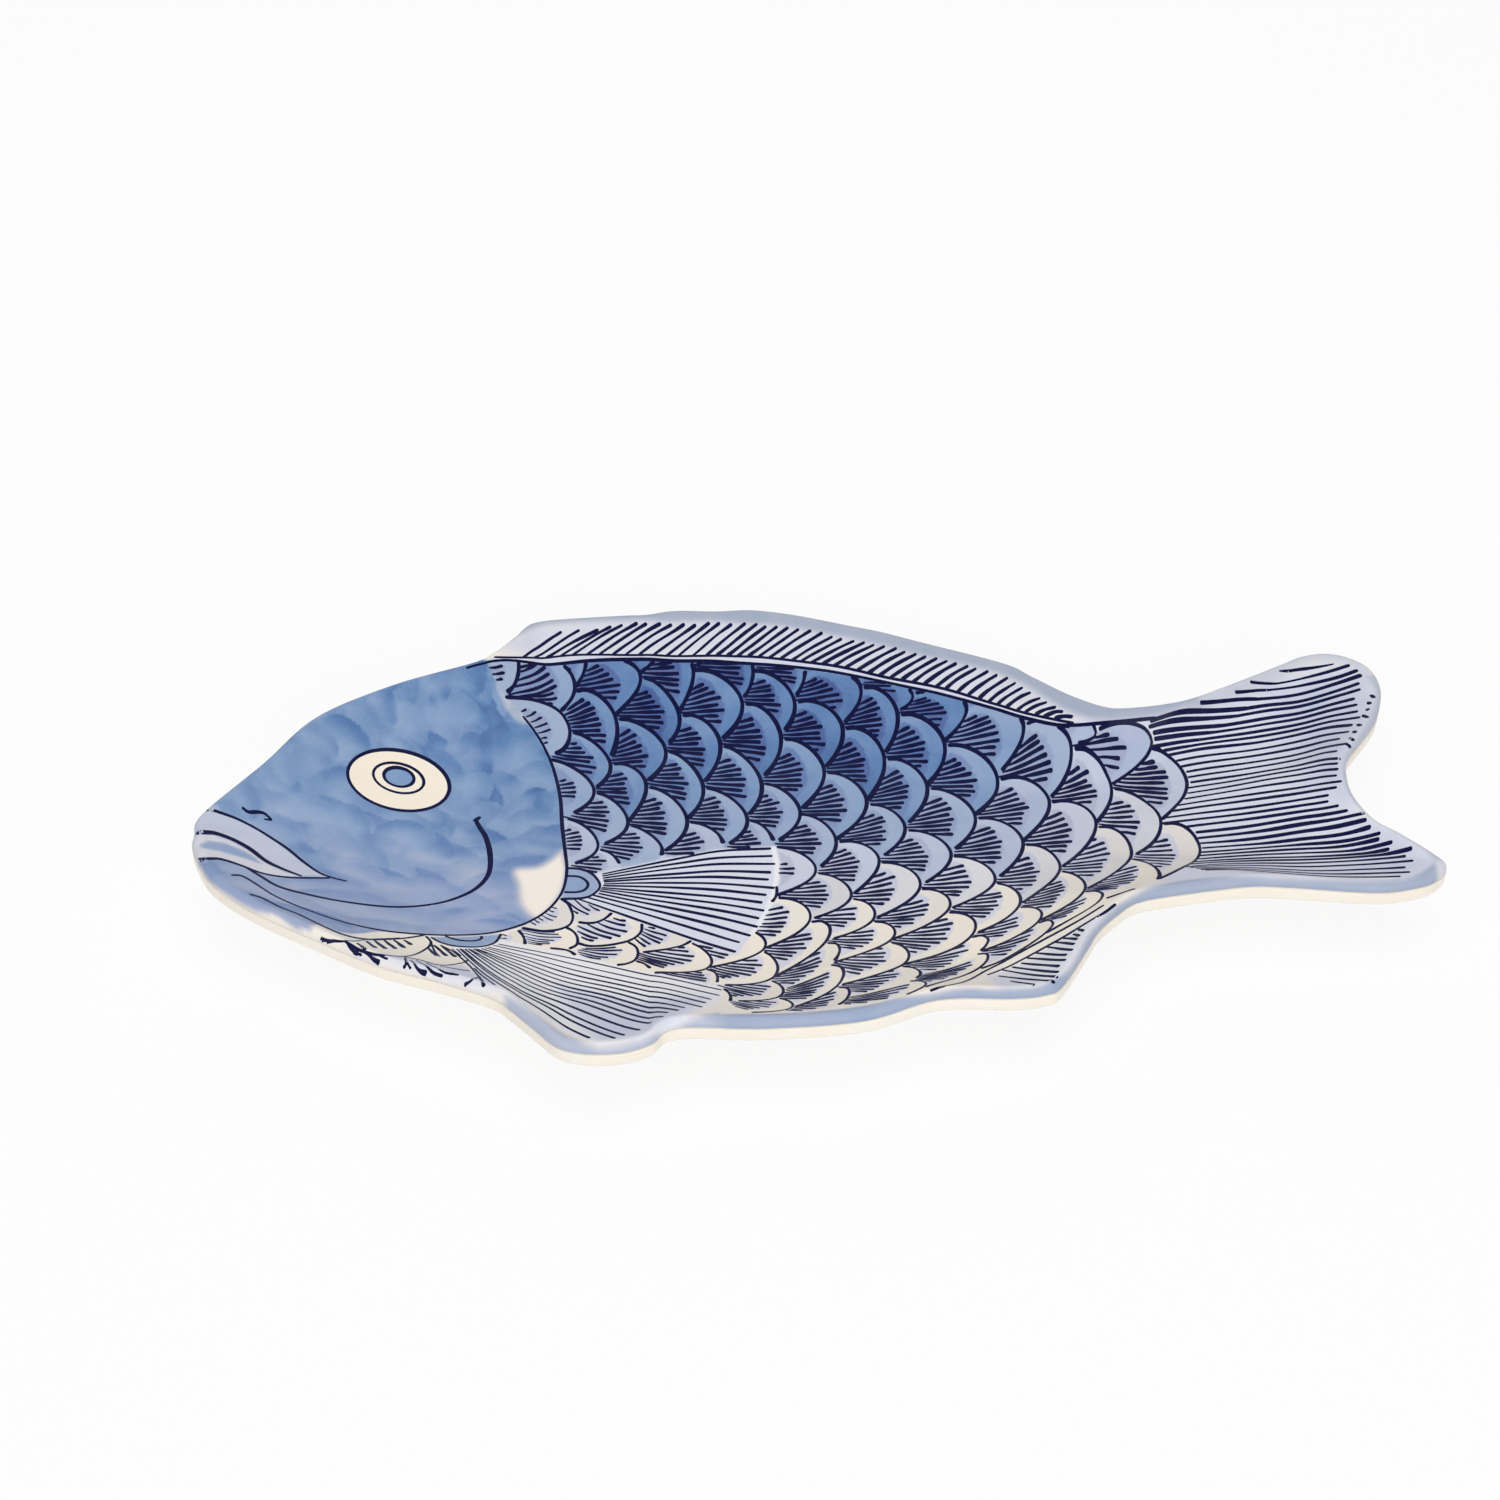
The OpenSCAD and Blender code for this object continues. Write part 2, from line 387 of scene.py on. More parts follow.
def linear(hex_colour):
    """An sRGB hex colour as the linear colour that the nodes take."""
    values = [int(hex_colour[i:i + 2], 16) / 255 for i in (1, 3, 5)]
    return tuple(v / 12.92 if v <= 0.04045 else ((v + 0.055) / 1.055) ** 2.4 for v in values) + (1,)


def put(tree, kind, inputs=None, **settings):
    """Adds a node with its settings; each input is a value or the socket that feeds it."""
    node = tree.nodes.new("ShaderNode" + kind)
    for name, value in settings.items():
        setattr(node, name, value)
    for name, value in (inputs or {}).items():
        if isinstance(value, bpy.types.NodeSocket):
            tree.links.new(value, node.inputs[name])
        else:
            node.inputs[name].default_value = value
    return node


def ramp(tree, fac, stops, interpolation="LINEAR"):
    node = put(tree, "ValToRGB", {"Fac": fac})
    node.color_ramp.interpolation = interpolation
    elements = node.color_ramp.elements
    while len(elements) < len(stops):
        elements.new(0.5)
    for element, (position, colour) in zip(elements, stops):
        element.position = position
        element.color = linear(colour)
    return node.outputs["Color"]


def new_material(name):
    material = bpy.data.materials.new(name)
    material.use_nodes = True
    tree = material.node_tree
    tree.nodes.clear()
    return material, tree


def finish_material(tree, shader):
    put(tree, "OutputMaterial", {"Surface": shader.outputs[0]})


def noise(tree, place, size_mm, detail=2.0, roughness=0.5):
    """Noise whose blotches are about size_mm across."""
    node = put(tree, "TexNoise", {
        "Vector": place, "Scale": 1 / (size_mm * MM), "Detail": detail, "Roughness": roughness,
    })
    return node.outputs["Fac"]


def math_node(tree, operation, a, b=0.0, clamp=False):
    node = put(tree, "Math", {0: a, 1: b}, operation=operation, use_clamp=clamp)
    return node.outputs[0]


def mix(tree, factor, a, b, **settings):
    return put(tree, "Mix", {"Factor": factor, 6: a, 7: b}, data_type="RGBA", **settings).outputs[2]


def swing(tree, place, size_mm, detail, roughness, amount):
    """Noise that swings about zero by that amount."""
    about_zero = math_node(tree, "SUBTRACT", noise(tree, place, size_mm, detail, roughness), 0.5)
    return math_node(tree, "MULTIPLY", about_zero, amount)


def stored(tree, name):
    """The numbers that add_numbers stored on the mesh."""
    return put(tree, "Attribute", attribute_name=name).outputs["Fac"]


GLAZE_IOR = 1.5
GLAZE_ROUGHNESS = 0.16
# The glaze mirrors the white surround from all sides, which at the usual 0.5 lies as a grey veil
# on the strokes
GLAZE_SPECULAR = 0.08


def glaze_bump(tree, place):
    """Glaze that flowed in the kiln: slow waves 14 mm across and a faint ripple of 2.5 mm."""
    waves = put(tree, "Bump", {"Height": noise(tree, place, 14, 1), "Strength": 0.35, "Distance": 0.25 * MM})
    ripple = put(tree, "Bump", {
        "Height": noise(tree, place, 2.5, 1), "Strength": 0.2, "Distance": 0.04 * MM,
        "Normal": waves.outputs["Normal"],
    })
    return ripple.outputs["Normal"]


def glazed(tree, colour, place):
    return put(tree, "BsdfPrincipled", {
        "Base Color": colour, "Roughness": GLAZE_ROUGHNESS, "IOR": GLAZE_IOR,
        "Specular IOR Level": GLAZE_SPECULAR, "Normal": glaze_bump(tree, place),
    })


# Cobalt under the glaze, from a bare ground to a full brush
COBALT = [
    (0.0, "#FFFFFF"), (0.12, "#E2E5EF"), (0.3, "#B6C3D8"), (0.48, "#8FAACB"), (0.62, "#668BB8"),
    (0.75, "#48699C"), (0.87, "#2C3F7C"), (1.0, "#12184F"),
]
# The same wash where it lies thin over more glaze, and turns towards violet grey
COBALT_VIOLET = [
    (0.0, "#FFFFFF"), (0.12, "#E3E3F0"), (0.3, "#BDC1D8"), (0.48, "#98A5C9"), (0.62, "#7288BC"),
    (0.75, "#52649F"), (0.87, "#303C7E"), (1.0, "#131750"),
]


def painted_glaze():
    """Stoneware white under clear glaze, washed with thin cobalt by brush: the wash pools and
    thins in cloudy patches, and its pigment settles in a fine grain."""
    material, tree = new_material("underglaze_cobalt_wash")
    place = put(tree, "TexCoord").outputs["Object"]
    pools = swing(tree, place, 9, 3, 0.55, 0.3)
    grain = swing(tree, place, 0.9, 2, 0.6, 0.1)
    uneven = math_node(tree, "ADD", math_node(tree, "ADD", pools, grain), 1.0)
    density = math_node(tree, "MULTIPLY", stored(tree, "cobalt"), uneven, clamp=True)
    hue = mix(tree, stored(tree, "violet"), ramp(tree, density, COBALT), ramp(tree, density, COBALT_VIOLET))
    ground = ramp(tree, stored(tree, "cream"), [(0.0, "#F1F2F7"), (1.0, "#FCF1DE")])
    finish_material(tree, glazed(tree, mix(tree, 1.0, ground, hue, blend_type="MULTIPLY"), place))
    return material


def brush_line():
    """Strong cobalt drawn with a fine brush: nearly black where the brush rested,
    a purer blue where it ran dry."""
    material, tree = new_material("underglaze_cobalt_line")
    place = put(tree, "TexCoord").outputs["Object"]
    dry = swing(tree, place, 1.6, 2, 0.5, 0.35)
    colour = ramp(tree, math_node(tree, "ADD", stored(tree, "ink"), dry, clamp=True), [
        (0.0, "#6F7FB0"), (0.35, "#3A4070"), (0.7, "#282A48"), (0.85, "#12173F"), (1.0, "#050A3A"),
    ])
    finish_material(tree, glazed(tree, colour, place))
    return material


def plain_glaze():
    """Clear glaze over unpainted cream clay, dipped: its tone drifts in slow blotches,
    and small specks of iron and closed pinholes show in it."""
    material, tree = new_material("clear_glaze_on_clay")
    place = put(tree, "TexCoord").outputs["Object"]
    tone = ramp(tree, noise(tree, place, 22, 3), [(0.3, "#FBF2E4"), (0.7, "#FDF7EC")])
    speck = put(tree, "TexVoronoi", {"Vector": place, "Scale": 1 / (9 * MM)})
    speck_here = math_node(tree, "LESS_THAN", speck.outputs["Distance"], 0.028)
    colour = mix(tree, math_node(tree, "MULTIPLY", speck_here, 0.45), tone, linear("#A58C6C"))
    finish_material(tree, glazed(tree, colour, place))
    return material


def bare_clay():
    """Fired white clay, wiped clean of glaze and ground on a wheel: matt, with fine grit."""
    material, tree = new_material("ground_white_clay")
    place = put(tree, "TexCoord").outputs["Object"]
    grit = noise(tree, place, 0.8, 4, 0.7)
    tone = ramp(tree, grit, [(0.3, "#D9CCB6"), (0.6, "#EBE0CC"), (0.8, "#F3EBDA")])
    bump = put(tree, "Bump", {"Height": grit, "Strength": 0.5, "Distance": 0.12 * MM})
    shader = put(tree, "BsdfPrincipled", {
        "Base Color": tone, "Roughness": 0.85, "IOR": 1.5, "Normal": bump.outputs["Normal"],
    })
    finish_material(tree, shader)
    return material


PAINT = painted_glaze()
LINE = brush_line()
CREAM = plain_glaze()
CLAY = bare_clay()


# Brush strokes: thin closed ribbons laid on the surface

class Strokes:
    """One piece made of brush strokes, standing a hair proud of the glaze."""
    PROUD, SUNK = 0.035, 0.03
    # A stroke's round ends: how far in, in half widths, and how wide it is there
    ENDS = ((0.0, 0.25), (0.25, 0.72), (0.6, 0.94))
    # How far the hand strays, and the share by which the brush's width varies
    WOBBLE, UNEVEN = 0.05, 0.1

    def __init__(self, name, lift=0.0, over_lip=False):
        self.name = name
        self.lift = lift
        # Across the stroke: bare edges sunk into the glaze, and the painted width between them.
        # Strokes that reach the rounded lip bend with it.
        across = (-0.86, -0.45, 0, 0.45, 0.86) if over_lip else (-0.86, 0.86)
        self.section = [(-1, -self.SUNK)] + [(part, self.PROUD) for part in across] + [(1, -self.SUNK)]
        self.vertices, self.faces = [], []

    def stroke(self, path, widths, ink=(0.85, 0.95), spacing=1.1):
        """path is a row of given points; widths and ink run evenly from its start to its end."""
        path = curve_through(path, spacing)
        count = len(path)
        shares = np.linspace(0, 1, count)
        width = np.interp(shares, np.linspace(0, 1, len(widths)), widths)
        length = np.linalg.norm(np.diff(path, axis=0), axis=1).sum()
        marks = [(share, 1.0) for share in shares[1:-1]]
        for end in (0, 1):
            half = min(width[-end] / 2, length / 3)
            marks += [(abs(end - step * half / length), part) for step, part in self.ENDS]
        wander = rng.uniform(-1, 1)
        base, size = len(self.vertices), len(self.section) + 1
        for share, part in sorted(marks):
            place = along(path, share)
            ahead = along(path, min(1, share + 0.02)) - along(path, max(0, share - 0.02))
            side = np.array((-ahead[1], ahead[0])) / (np.linalg.norm(ahead) + 1e-9)
            w = np.interp(share, shares, width) / 2 * part
            w *= 1 + self.UNEVEN * math.sin(9 * share + 5 * wander)
            place = place + side * self.WOBBLE * math.sin(7 * share + 9 * wander)
            tone = np.interp(share, np.linspace(0, 1, len(ink)), ink)
            for across, proud in self.section:
                p, n = surface.at(*(place + side * w * across))
                self.vertices.append((p + n * (proud + self.lift), n, tone))
            # The middle of the stroke's underside
            p, n = surface.at(*place)
            self.vertices.append((p - n * 3 * self.SUNK, n, tone))
        for a in range(base, len(self.vertices) - size, size):
            for i in range(size):
                j = (i + 1) % size
                self.faces.append((a + j, a + i, a + size + i, a + size + j))
        self.faces.append(tuple(range(base, base + size)))
        self.faces.append(tuple(range(len(self.vertices) - 1, len(self.vertices) - size - 1, -1)))

    def draw(self, lines, widths, ink, **options):
        """The same stroke along each of some lines of pixels."""
        for pixels in lines:
            self.stroke(seen_path(pixels), widths, ink, **options)

    def make(self):
        points, normals, inks = zip(*self.vertices)
        piece = make_piece(self.name, points, self.faces, LINE, normals)
        add_numbers(piece, "ink", inks)


# Places of the painting, in pixels of the photograph

DORSAL_UPPER = [
    (494, 657), (560, 656), (640, 655), (697, 656), (755, 657), (812, 663), (850, 669), (889, 678),
    (941, 688), (982, 700), (1022, 712), (1053, 719), (1074, 723),
]
DORSAL_LOWER = [
    (466, 668), (480, 664), (520, 661), (600, 660), (697, 661), (755, 664), (803, 668), (850, 675),
    (908, 687),
    (941, 694), (982, 705), (1022, 717), (1053, 724), (1074, 725), (1100, 723), (1125, 721), (1157, 718),
]
HEAD_EDGE = [(490, 664), (496, 680), (500, 694), (512, 704), (523, 716)]
GILL_COVER = [
    (523, 716), (533, 729), (543, 745), (553, 768), (560, 797), (562, 825), (565, 850), (567, 868),
    (565, 884), (560, 896), (550, 908), (538, 917), (522, 925),
]
THROAT = [(522, 925), (505, 930), (490, 933), (460, 935), (420, 934)]
CHIN_EDGE = [
    (420, 934), (380, 932), (345, 933), (320, 924), (310, 928), (296, 929), (287, 922), (275, 914),
    (258, 911), (235, 899), (210, 882), (195, 864),
]
BELLY_LINE = [
    (522, 925), (500, 946), (600, 980), (722, 1000), (738, 1011), (786, 1012), (850, 1005), (916, 993),
    (960, 983), (987, 973), (1010, 960), (1045, 941), (1080, 921), (1104, 905), (1130, 891), (1160, 879),
    (1186, 873), (1210, 870),
]

dorsal_upper, dorsal_lower, gill_cover, head_edge, throat, chin_edge, belly_line = (
    curve_through(seen_path(pixels), 3)
    for pixels in (DORSAL_UPPER, DORSAL_LOWER, GILL_COVER, HEAD_EDGE, THROAT, CHIN_EDGE, BELLY_LINE)
)
tail_side = seen_path([(1215, 719), (1215, 868)])
body_area = np.vstack([dorsal_lower[2:], tail_side, belly_line[::-1], gill_cover[::-1], head_edge[::-1]])

# Fins: each is an area, and guide lines that its rays are spaced between
PECTORAL_BASE = [(566, 868), (580, 869), (592, 874), (600, 885), (595, 893), (584, 898), (562, 899)]
PECTORAL_EYE = [(567, 876), (580, 877), (588, 883), (586, 889), (578, 892), (564, 892)]
PECTORAL_AREA = [
    (585, 878), (600, 872), (640, 864), (680, 856), (720, 849), (776, 846), (778, 862), (778, 880),
    (773, 896),
    (768, 910), (760, 925), (750, 937), (738, 955), (690, 940), (650, 926), (610, 912), (575, 899),
]
PECTORAL_RAYS = [
    [(602, 874), (640, 866), (680, 858), (720, 851), (775, 848)],
    [(604, 884), (640, 883), (680, 883), (720, 884), (772, 888)],
    [(598, 893), (640, 902), (680, 910), (720, 918), (757, 927)],
    [(578, 899), (610, 910), (650, 924), (690, 938), (736, 952)],
]
PELVIC_BASE = [(431, 937), (440, 942), (455, 946), (478, 947), (494, 943), (501, 934)]
PELVIC_EYE = [(445, 936), (458, 940), (472, 941), (481, 939), (481, 936)]
PELVIC_AREA = [
    (450, 944), (500, 990), (545, 1019), (598, 1046), (640, 1040), (690, 1017), (724, 997), (722, 987),
    (660, 974), (580, 956), (503, 940),
]
PELVIC_RAYS = [
    [(457, 949), (500, 984), (545, 1012), (594, 1039)],
    [(462, 949), (508, 983), (563, 1010), (626, 1035)],
    [(468, 949), (520, 981), (585, 1004), (649, 1023)],
    [(478, 949), (545, 975), (620, 994), (690, 1009)],
    [(488, 947), (565, 968), (640, 985), (713, 1000)],
    [(498, 944), (580, 960), (655, 976), (722, 990)],
]
DORSAL_RAYS = [
    [(522, 655), (534, 647), (547, 638), (561, 629)],
    [(546, 655), (563, 645), (581, 635), (599, 626)],
    [(705, 655), (718, 644), (731, 633), (745, 622)],
    [(812, 662), (826, 654), (840, 647), (855, 640)],
    [(979, 698), (988, 690), (998, 683), (1008, 677)],
    [(1054, 719), (1060, 717), (1066, 716), (1073, 717)],
]
TAIL_TOP = [
    [(1279, 671), (1303, 669), (1334, 664)],
    [(1250, 682), (1300, 679), (1328, 672), (1350, 665)],
    [(1235, 692), (1265, 690), (1300, 686), (1335, 678), (1358, 670)],
    [(1200, 703), (1250, 699), (1300, 694), (1335, 684), (1362, 675)],
]
TAIL_RAYS = [
    [(1150, 721), (1200, 711), (1260, 706), (1300, 701), (1335, 691), (1367, 680)],
    [(1140, 760), (1200, 749), (1260, 742), (1300, 734), (1330, 727), (1358, 724)],
    [(1180, 784), (1215, 779), (1260, 772), (1300, 765), (1322, 760), (1342, 760)],
    [(1158, 824), (1200, 819), (1260, 812), (1300, 806), (1320, 803), (1341, 799)],
    [(1190, 853), (1220, 851), (1260, 848), (1300, 845), (1345, 841), (1384, 832)],
    [(1186, 867), (1220, 864), (1260, 863), (1300, 863), (1350, 861), (1418, 853)],
    [(1205, 870), (1240, 870), (1280, 873), (1320, 876), (1365, 877), (1408, 876)],
]
TAIL_RIM_DASHES = [
    [(1370, 695), (1375, 698)], [(1367, 702), (1371, 704)], [(1366, 709), (1369, 710)],
    [(1362, 715), (1368, 718)], [(1357, 724), (1361, 726)], [(1353, 731), (1356, 733)],
    [(1349, 738), (1354, 741)], [(1345, 744), (1351, 748)],
]
ANAL_LINES = [
    [(987, 975), (1010, 966), (1040, 950), (1070, 933), (1100, 915), (1116, 904)],
    [(930, 991), (960, 983), (985, 971), (1010, 958), (1045, 939), (1080, 920), (1104, 905)],
]
ANAL_RAYS = [
    [(1078, 929), (1084, 931)], [(1073, 934), (1080, 936)], [(1063, 938), (1078, 939)],
    [(1055, 942), (1075, 944)], [(1047, 947), (1073, 950)], [(1035, 953), (1067, 955)],
    [(1027, 958), (1066, 960)], [(1021, 963), (1060, 966)], [(1012, 967), (1059, 972)],
    [(1002, 970), (1058, 978)], [(998, 976), (1055, 983)], [(1010, 981), (1035, 985)],
]

# Lines of the head, each with its widths from end to end
HEAD_LINES = [
    ([(206, 811), (222, 813), (240, 820), (262, 832), (285, 847), (305, 863), (320, 873), (334, 878),
      (347, 881)],
     (0.9, 0.8, 1.0, 0.8, 0.6)),
    ([(196, 834), (203, 832), (215, 833), (232, 839), (250, 849), (266, 861), (283, 869), (302, 876)],
     (1.5, 1.4, 1.5, 1.1, 0.7)),
    ([(197, 863), (205, 859), (220, 859), (240, 865), (262, 873), (285, 877), (310, 878), (330, 878)],
     (1.2, 1.0, 0.8, 0.7, 0.7)),
    ([(246, 867), (262, 877), (280, 887), (310, 895), (346, 902), (395, 907), (439, 903), (466, 894),
      (481, 884), (489, 872), (490, 855), (486, 838), (480, 828), (476, 821)],
     (1.0, 1.0, 0.8, 0.9, 0.8, 1.3, 1.5, 1.2)),
    ([(475, 822), (477, 819), (481, 817)], (1.7, 1.5, 0.8)),
    ([(231, 875), (242, 876), (256, 884), (275, 896), (300, 907), (340, 921), (380, 930), (420, 934),
      (460, 935), (490, 933), (512, 928), (524, 924)], (0.9, 0.8, 0.8, 0.9, 0.8, 0.8)),
    ([(249, 894), (262, 898), (280, 907), (300, 915), (325, 927), (345, 935), (365, 939), (395, 939),
      (425, 935)], (1.2, 1.1, 1.0, 1.2, 0.9, 0.8)),
    ([(242, 807), (248, 812), (258, 812), (264, 813), (270, 818), (272, 820)], (0.8, 1.3, 0.9, 0.7)),
    ([(272, 820), (264, 819)], (0.8, 0.5)),
]
# Lines and ticks of the scales under the throat
THROAT_LINES = [
    ([(320, 940), (333, 941), (350, 941), (372, 939), (400, 938)], (0.9, 0.5, 0.7)),
    ([(345, 941), (362, 951), (385, 955), (408, 956), (424, 950), (431, 943), (426, 936)], (0.9, 0.8, 0.8)),
    ([(431, 943), (434, 950), (440, 957)], (0.8, 0.6)),
    ([(405, 957), (420, 960), (440, 965), (462, 963), (468, 960)], (0.8, 0.7)),
    ([(440, 945), (455, 953), (470, 966), (480, 978)], (0.7, 0.8)),
    ([(357, 943), (366, 950)], (0.9, 1.5)), ([(366, 941), (376, 948)], (0.9, 1.6)),
    ([(374, 940), (386, 949)], (0.9, 1.8)), ([(384, 940), (396, 949)], (0.9, 1.8)),
    ([(394, 940), (405, 948)], (0.9, 1.8)), ([(404, 940), (412, 945)], (0.9, 1.6)),
    ([(428, 948), (437, 956)], (0.8, 1.5)), ([(434, 945), (447, 956)], (0.8, 1.5)),
    ([(442, 946), (456, 957)], (0.8, 1.4)), ([(452, 949), (461, 956)], (0.5, 0.9)),
    ([(346, 942), (352, 949), (358, 955)], (0.5, 1.4)), ([(355, 953), (362, 955)], (0.6, 0.5)),
    ([(364, 952), (372, 958), (380, 962)], (0.4, 1.1)), ([(374, 954), (388, 959)], (0.4, 0.8)),
    ([(405, 957), (406, 963), (403, 968)], (0.6, 1.0)), ([(406, 962), (411, 969)], (0.8, 0.6)),
    ([(410, 960), (417, 968), (427, 973)], (0.4, 1.2)), ([(416, 960), (430, 970), (443, 976)], (0.4, 1.0)),
    ([(426, 963), (442, 971), (459, 975)], (0.4, 0.9)), ([(440, 966), (456, 969), (470, 971)], (0.5, 0.9)),
    ([(464, 985), (472, 980), (480, 977)], (0.9, 0.7)), ([(479, 976), (482, 981), (484, 987)], (0.7, 1.3)),
    ([(474, 968), (484, 977), (495, 985)], (0.7, 0.9)),
]
# The eye: middle, half length, half height and tilt of its rings on the photograph
EYE_RINGS = [(398.6, 780.1, 51.6, 29.5, 11.7), (398.7, 778.0, 25.8, 14.4, 13.9),
             (399.0, 777.0, 15.3, 9.3, 12.0)]
EYE_WIDTHS = (1.2, 0.95, 1.15)
UPPER_LIP = [
    (195, 832), (197, 820), (206, 811), (222, 813), (240, 820), (262, 832), (285, 847), (305, 863),
    (322, 874),
    (330, 877), (302, 876), (283, 869), (266, 861), (250, 849), (232, 839), (215, 833), (203, 832),
]
LOWER_LIP = [
    (194, 860), (192, 850), (196, 836), (203, 834), (215, 835), (232, 841), (250, 851), (266, 863),
    (283, 871),
    (302, 877), (285, 877), (262, 873), (240, 865), (220, 859), (205, 859),
]
LOWER_LIP_SHADE = [(197, 849), (208, 841), (224, 843), (240, 849), (253, 856), (262, 864), (244, 858),
                   (220, 851)]


def oval_pixels(middle_x, middle_y, half_length, half_height, tilt, count=40):
    c, s = math.cos(math.radians(tilt)), math.sin(math.radians(tilt))
    turns = np.linspace(0, 2 * math.pi, count, endpoint=False)
    along_it = [(half_length * math.cos(a), half_height * math.sin(a)) for a in turns]
    return [(middle_x + u * c - v * s, middle_y + u * s + v * c) for u, v in along_it]


# The scales

# Tips of the scales on the photograph: rows from the back to the belly, each with the number of its
# first tip, which is hidden under the head or a fin. Odd rows are numbered in halves, so that a
# scale's upper and lower joints lie on the tips half a number back in the rows above and below.
SCALE_TIPS = {
    -2: (-6, [(500, 645), (553, 650), (586, 656), (662, 640), (728, 640), (785, 642), (845, 650),
              (905, 664)]),
    -1: (-6.5, [(460, 672), (519, 668), (575, 688), (640, 674), (693, 667), (753, 668), (805, 669),
                (866, 672), (925, 680)]),
    0: (-6, [(505, 697), (569, 729), (615, 716), (679, 713), (742, 701), (794, 699), (860, 685),
             (912, 692), (975, 694)]),
    1: (-5.5, [(551, 757), (610, 762), (665, 748), (720, 742), (781, 736), (842, 726), (897, 712),
               (966, 704), (1035, 708)]),
    2: (-6, [(545, 795), (594, 790), (646, 784), (703, 785), (761, 781), (824, 770), (884, 756),
             (944, 742), (1023, 722),
             (1096, 728)]),
    3: (-5.5, [(568, 817), (628, 823), (687, 820), (747, 818), (800, 812), (867, 802), (927, 786),
               (997, 777), (1071, 745),
               (1152, 742)]),
    4: (-6, [(548, 848), (598, 847), (662, 854), (724, 848), (774, 845), (836, 840), (905, 828),
             (975, 816), (1049, 800),
             (1111, 785), (1187, 784)]),
    5: (-5.5, [(568, 866), (621, 872), (690, 880), (752, 872), (816, 871), (879, 860), (951, 854),
               (1023, 842), (1096, 824),
               (1161, 821)]),
    6: (-5, [(590, 888), (650, 905), (710, 905), (776, 896), (851, 897), (920, 887), (995, 881), (1060, 869),
             (1131, 857), (1200, 853)]),
    7: (-5.5, [(563, 902), (612, 913), (655, 920), (735, 925), (810, 920), (873, 920), (948, 910),
               (1019, 906), (1084, 891),
               (1157, 880)]),
    8: (-6, [(520, 925), (573, 917), (642, 928), (691, 941), (764, 949), (826, 941), (891, 940),
             (971, 936), (1038, 922),
             (1098, 902)]),
    9: (-6.5, [(460, 945), (525, 941), (577, 939), (638, 953), (708, 968), (771, 979), (833, 963),
               (902, 965), (980, 952), (1044, 934)]),
    10: (-5, [(520, 957), (578, 957), (653, 973), (716, 985), (778, 997), (837, 986), (913, 980),
              (976, 970)]),
    11: (-2.5, [(690, 998), (730, 1001), (788, 1009), (844, 1001), (915, 991)]),
}
SCALE_TIPS = {row: (first, seen_path(tips)) for row, (first, tips) in SCALE_TIPS.items()}
# Scales that the painter fitted in freely, behind the head and between the low fins: the round
# end from the upper joint to the lower one, the corners at the root, where the hatching starts,
# where it stops, and how many strokes it has
FREE_SCALES = {
    (-1, -5.5): ([(518, 655), (519, 670), (514, 685), (505, 695)], [(480, 690), (480, 655)],
                 [(489, 668), (492, 674), (496, 680)], [(505, 665), (505, 672), (503, 679)], 3),
    (-1, -4.5): ([(551, 655), (562, 664), (571, 674), (575, 686), (572, 698), (561, 711)], [(505, 696),
    (519, 655)],
                 [(520, 672), (517, 682), (508, 696), (530, 697), (547, 703)],
                 [(540, 661), (547, 665), (552, 669), (558, 678), (559, 686), (558, 693), (557, 700),
                  (555, 704)], 8),
    (0, -5): ([(505, 697), (530, 699), (549, 705), (561, 713), (568, 724), (570, 734), (567, 745), (560, 752),
               (549, 756)], [(500, 740), (495, 705)],
              [(521, 712), (530, 722), (540, 737), (543, 744)],
              [(528, 708), (537, 712), (544, 716), (549, 721), (551, 730), (552, 735), (548, 742)], 7),
    (7, -4.5): ([(612, 906), (612, 913), (604, 919), (592, 923), (575, 922)], [(560, 897), (600, 895)],
                [(567, 906), (566, 900), (580, 899), (590, 901)], [(583, 916), (592, 914), (600, 911),
                 (604, 908)], 5),
    (8, -5): ([(558, 897), (566, 901), (571, 909), (573, 917), (571, 923), (566, 927), (555, 930), (540, 931),
               (528, 929), (515, 927)], [(500, 920), (540, 890)],
              [(551, 907), (546, 912), (538, 917), (530, 922)],
              [(559, 909), (558, 914), (556, 919), (549, 922), (536, 925)], 7),
    (8, -4): ([(636, 915), (641, 922), (642, 929), (637, 936), (628, 941), (610, 945), (590, 946),
    (578, 943)],
              [(572, 922), (612, 910)],
              [(613, 918), (590, 923), (576, 926), (577, 931), (581, 937)],
              [(626, 921), (631, 925), (629, 930), (622, 936), (608, 939), (594, 941)], 7),
    (9, -5.5): ([(510, 926), (518, 930), (524, 938), (525, 944), (522, 948)], [(490, 950), (490, 926)],
                [(500, 934), (500, 942)], [(512, 936), (511, 941)], 3),
    (9, -4.5): ([(560, 925), (570, 929), (576, 935), (578, 942), (574, 947), (562, 950), (545, 950),
    (526, 946)],
                [(515, 935), (518, 925)],
                [(524, 929), (519, 930), (524, 940), (528, 943)],
                [(555, 932), (561, 936), (561, 940), (553, 943), (545, 945)], 7),
    (9, -3.5): ([(628, 942), (635, 946), (638, 953), (636, 959), (630, 963), (615, 965), (598, 963),
    (580, 959)],
                [(572, 948), (580, 945), (595, 948), (612, 947)],
                [(585, 948), (577, 950), (579, 954), (583, 958)],
                [(616, 947), (623, 950), (622, 953), (616, 957), (605, 960), (590, 960)], 7),
    (10, -4): ([(550, 948), (566, 950), (575, 954), (578, 961)], [(578, 975), (540, 975), (540, 950)],
               [(530, 949), (535, 955)], [(560, 953), (562, 958)], 3),
    (10, -3): ([(636, 961), (645, 964), (652, 970), (654, 977)], [(640, 985), (600, 975), (600, 962)],
               [(595, 965), (600, 970)], [(630, 968), (632, 973)], 3),
}
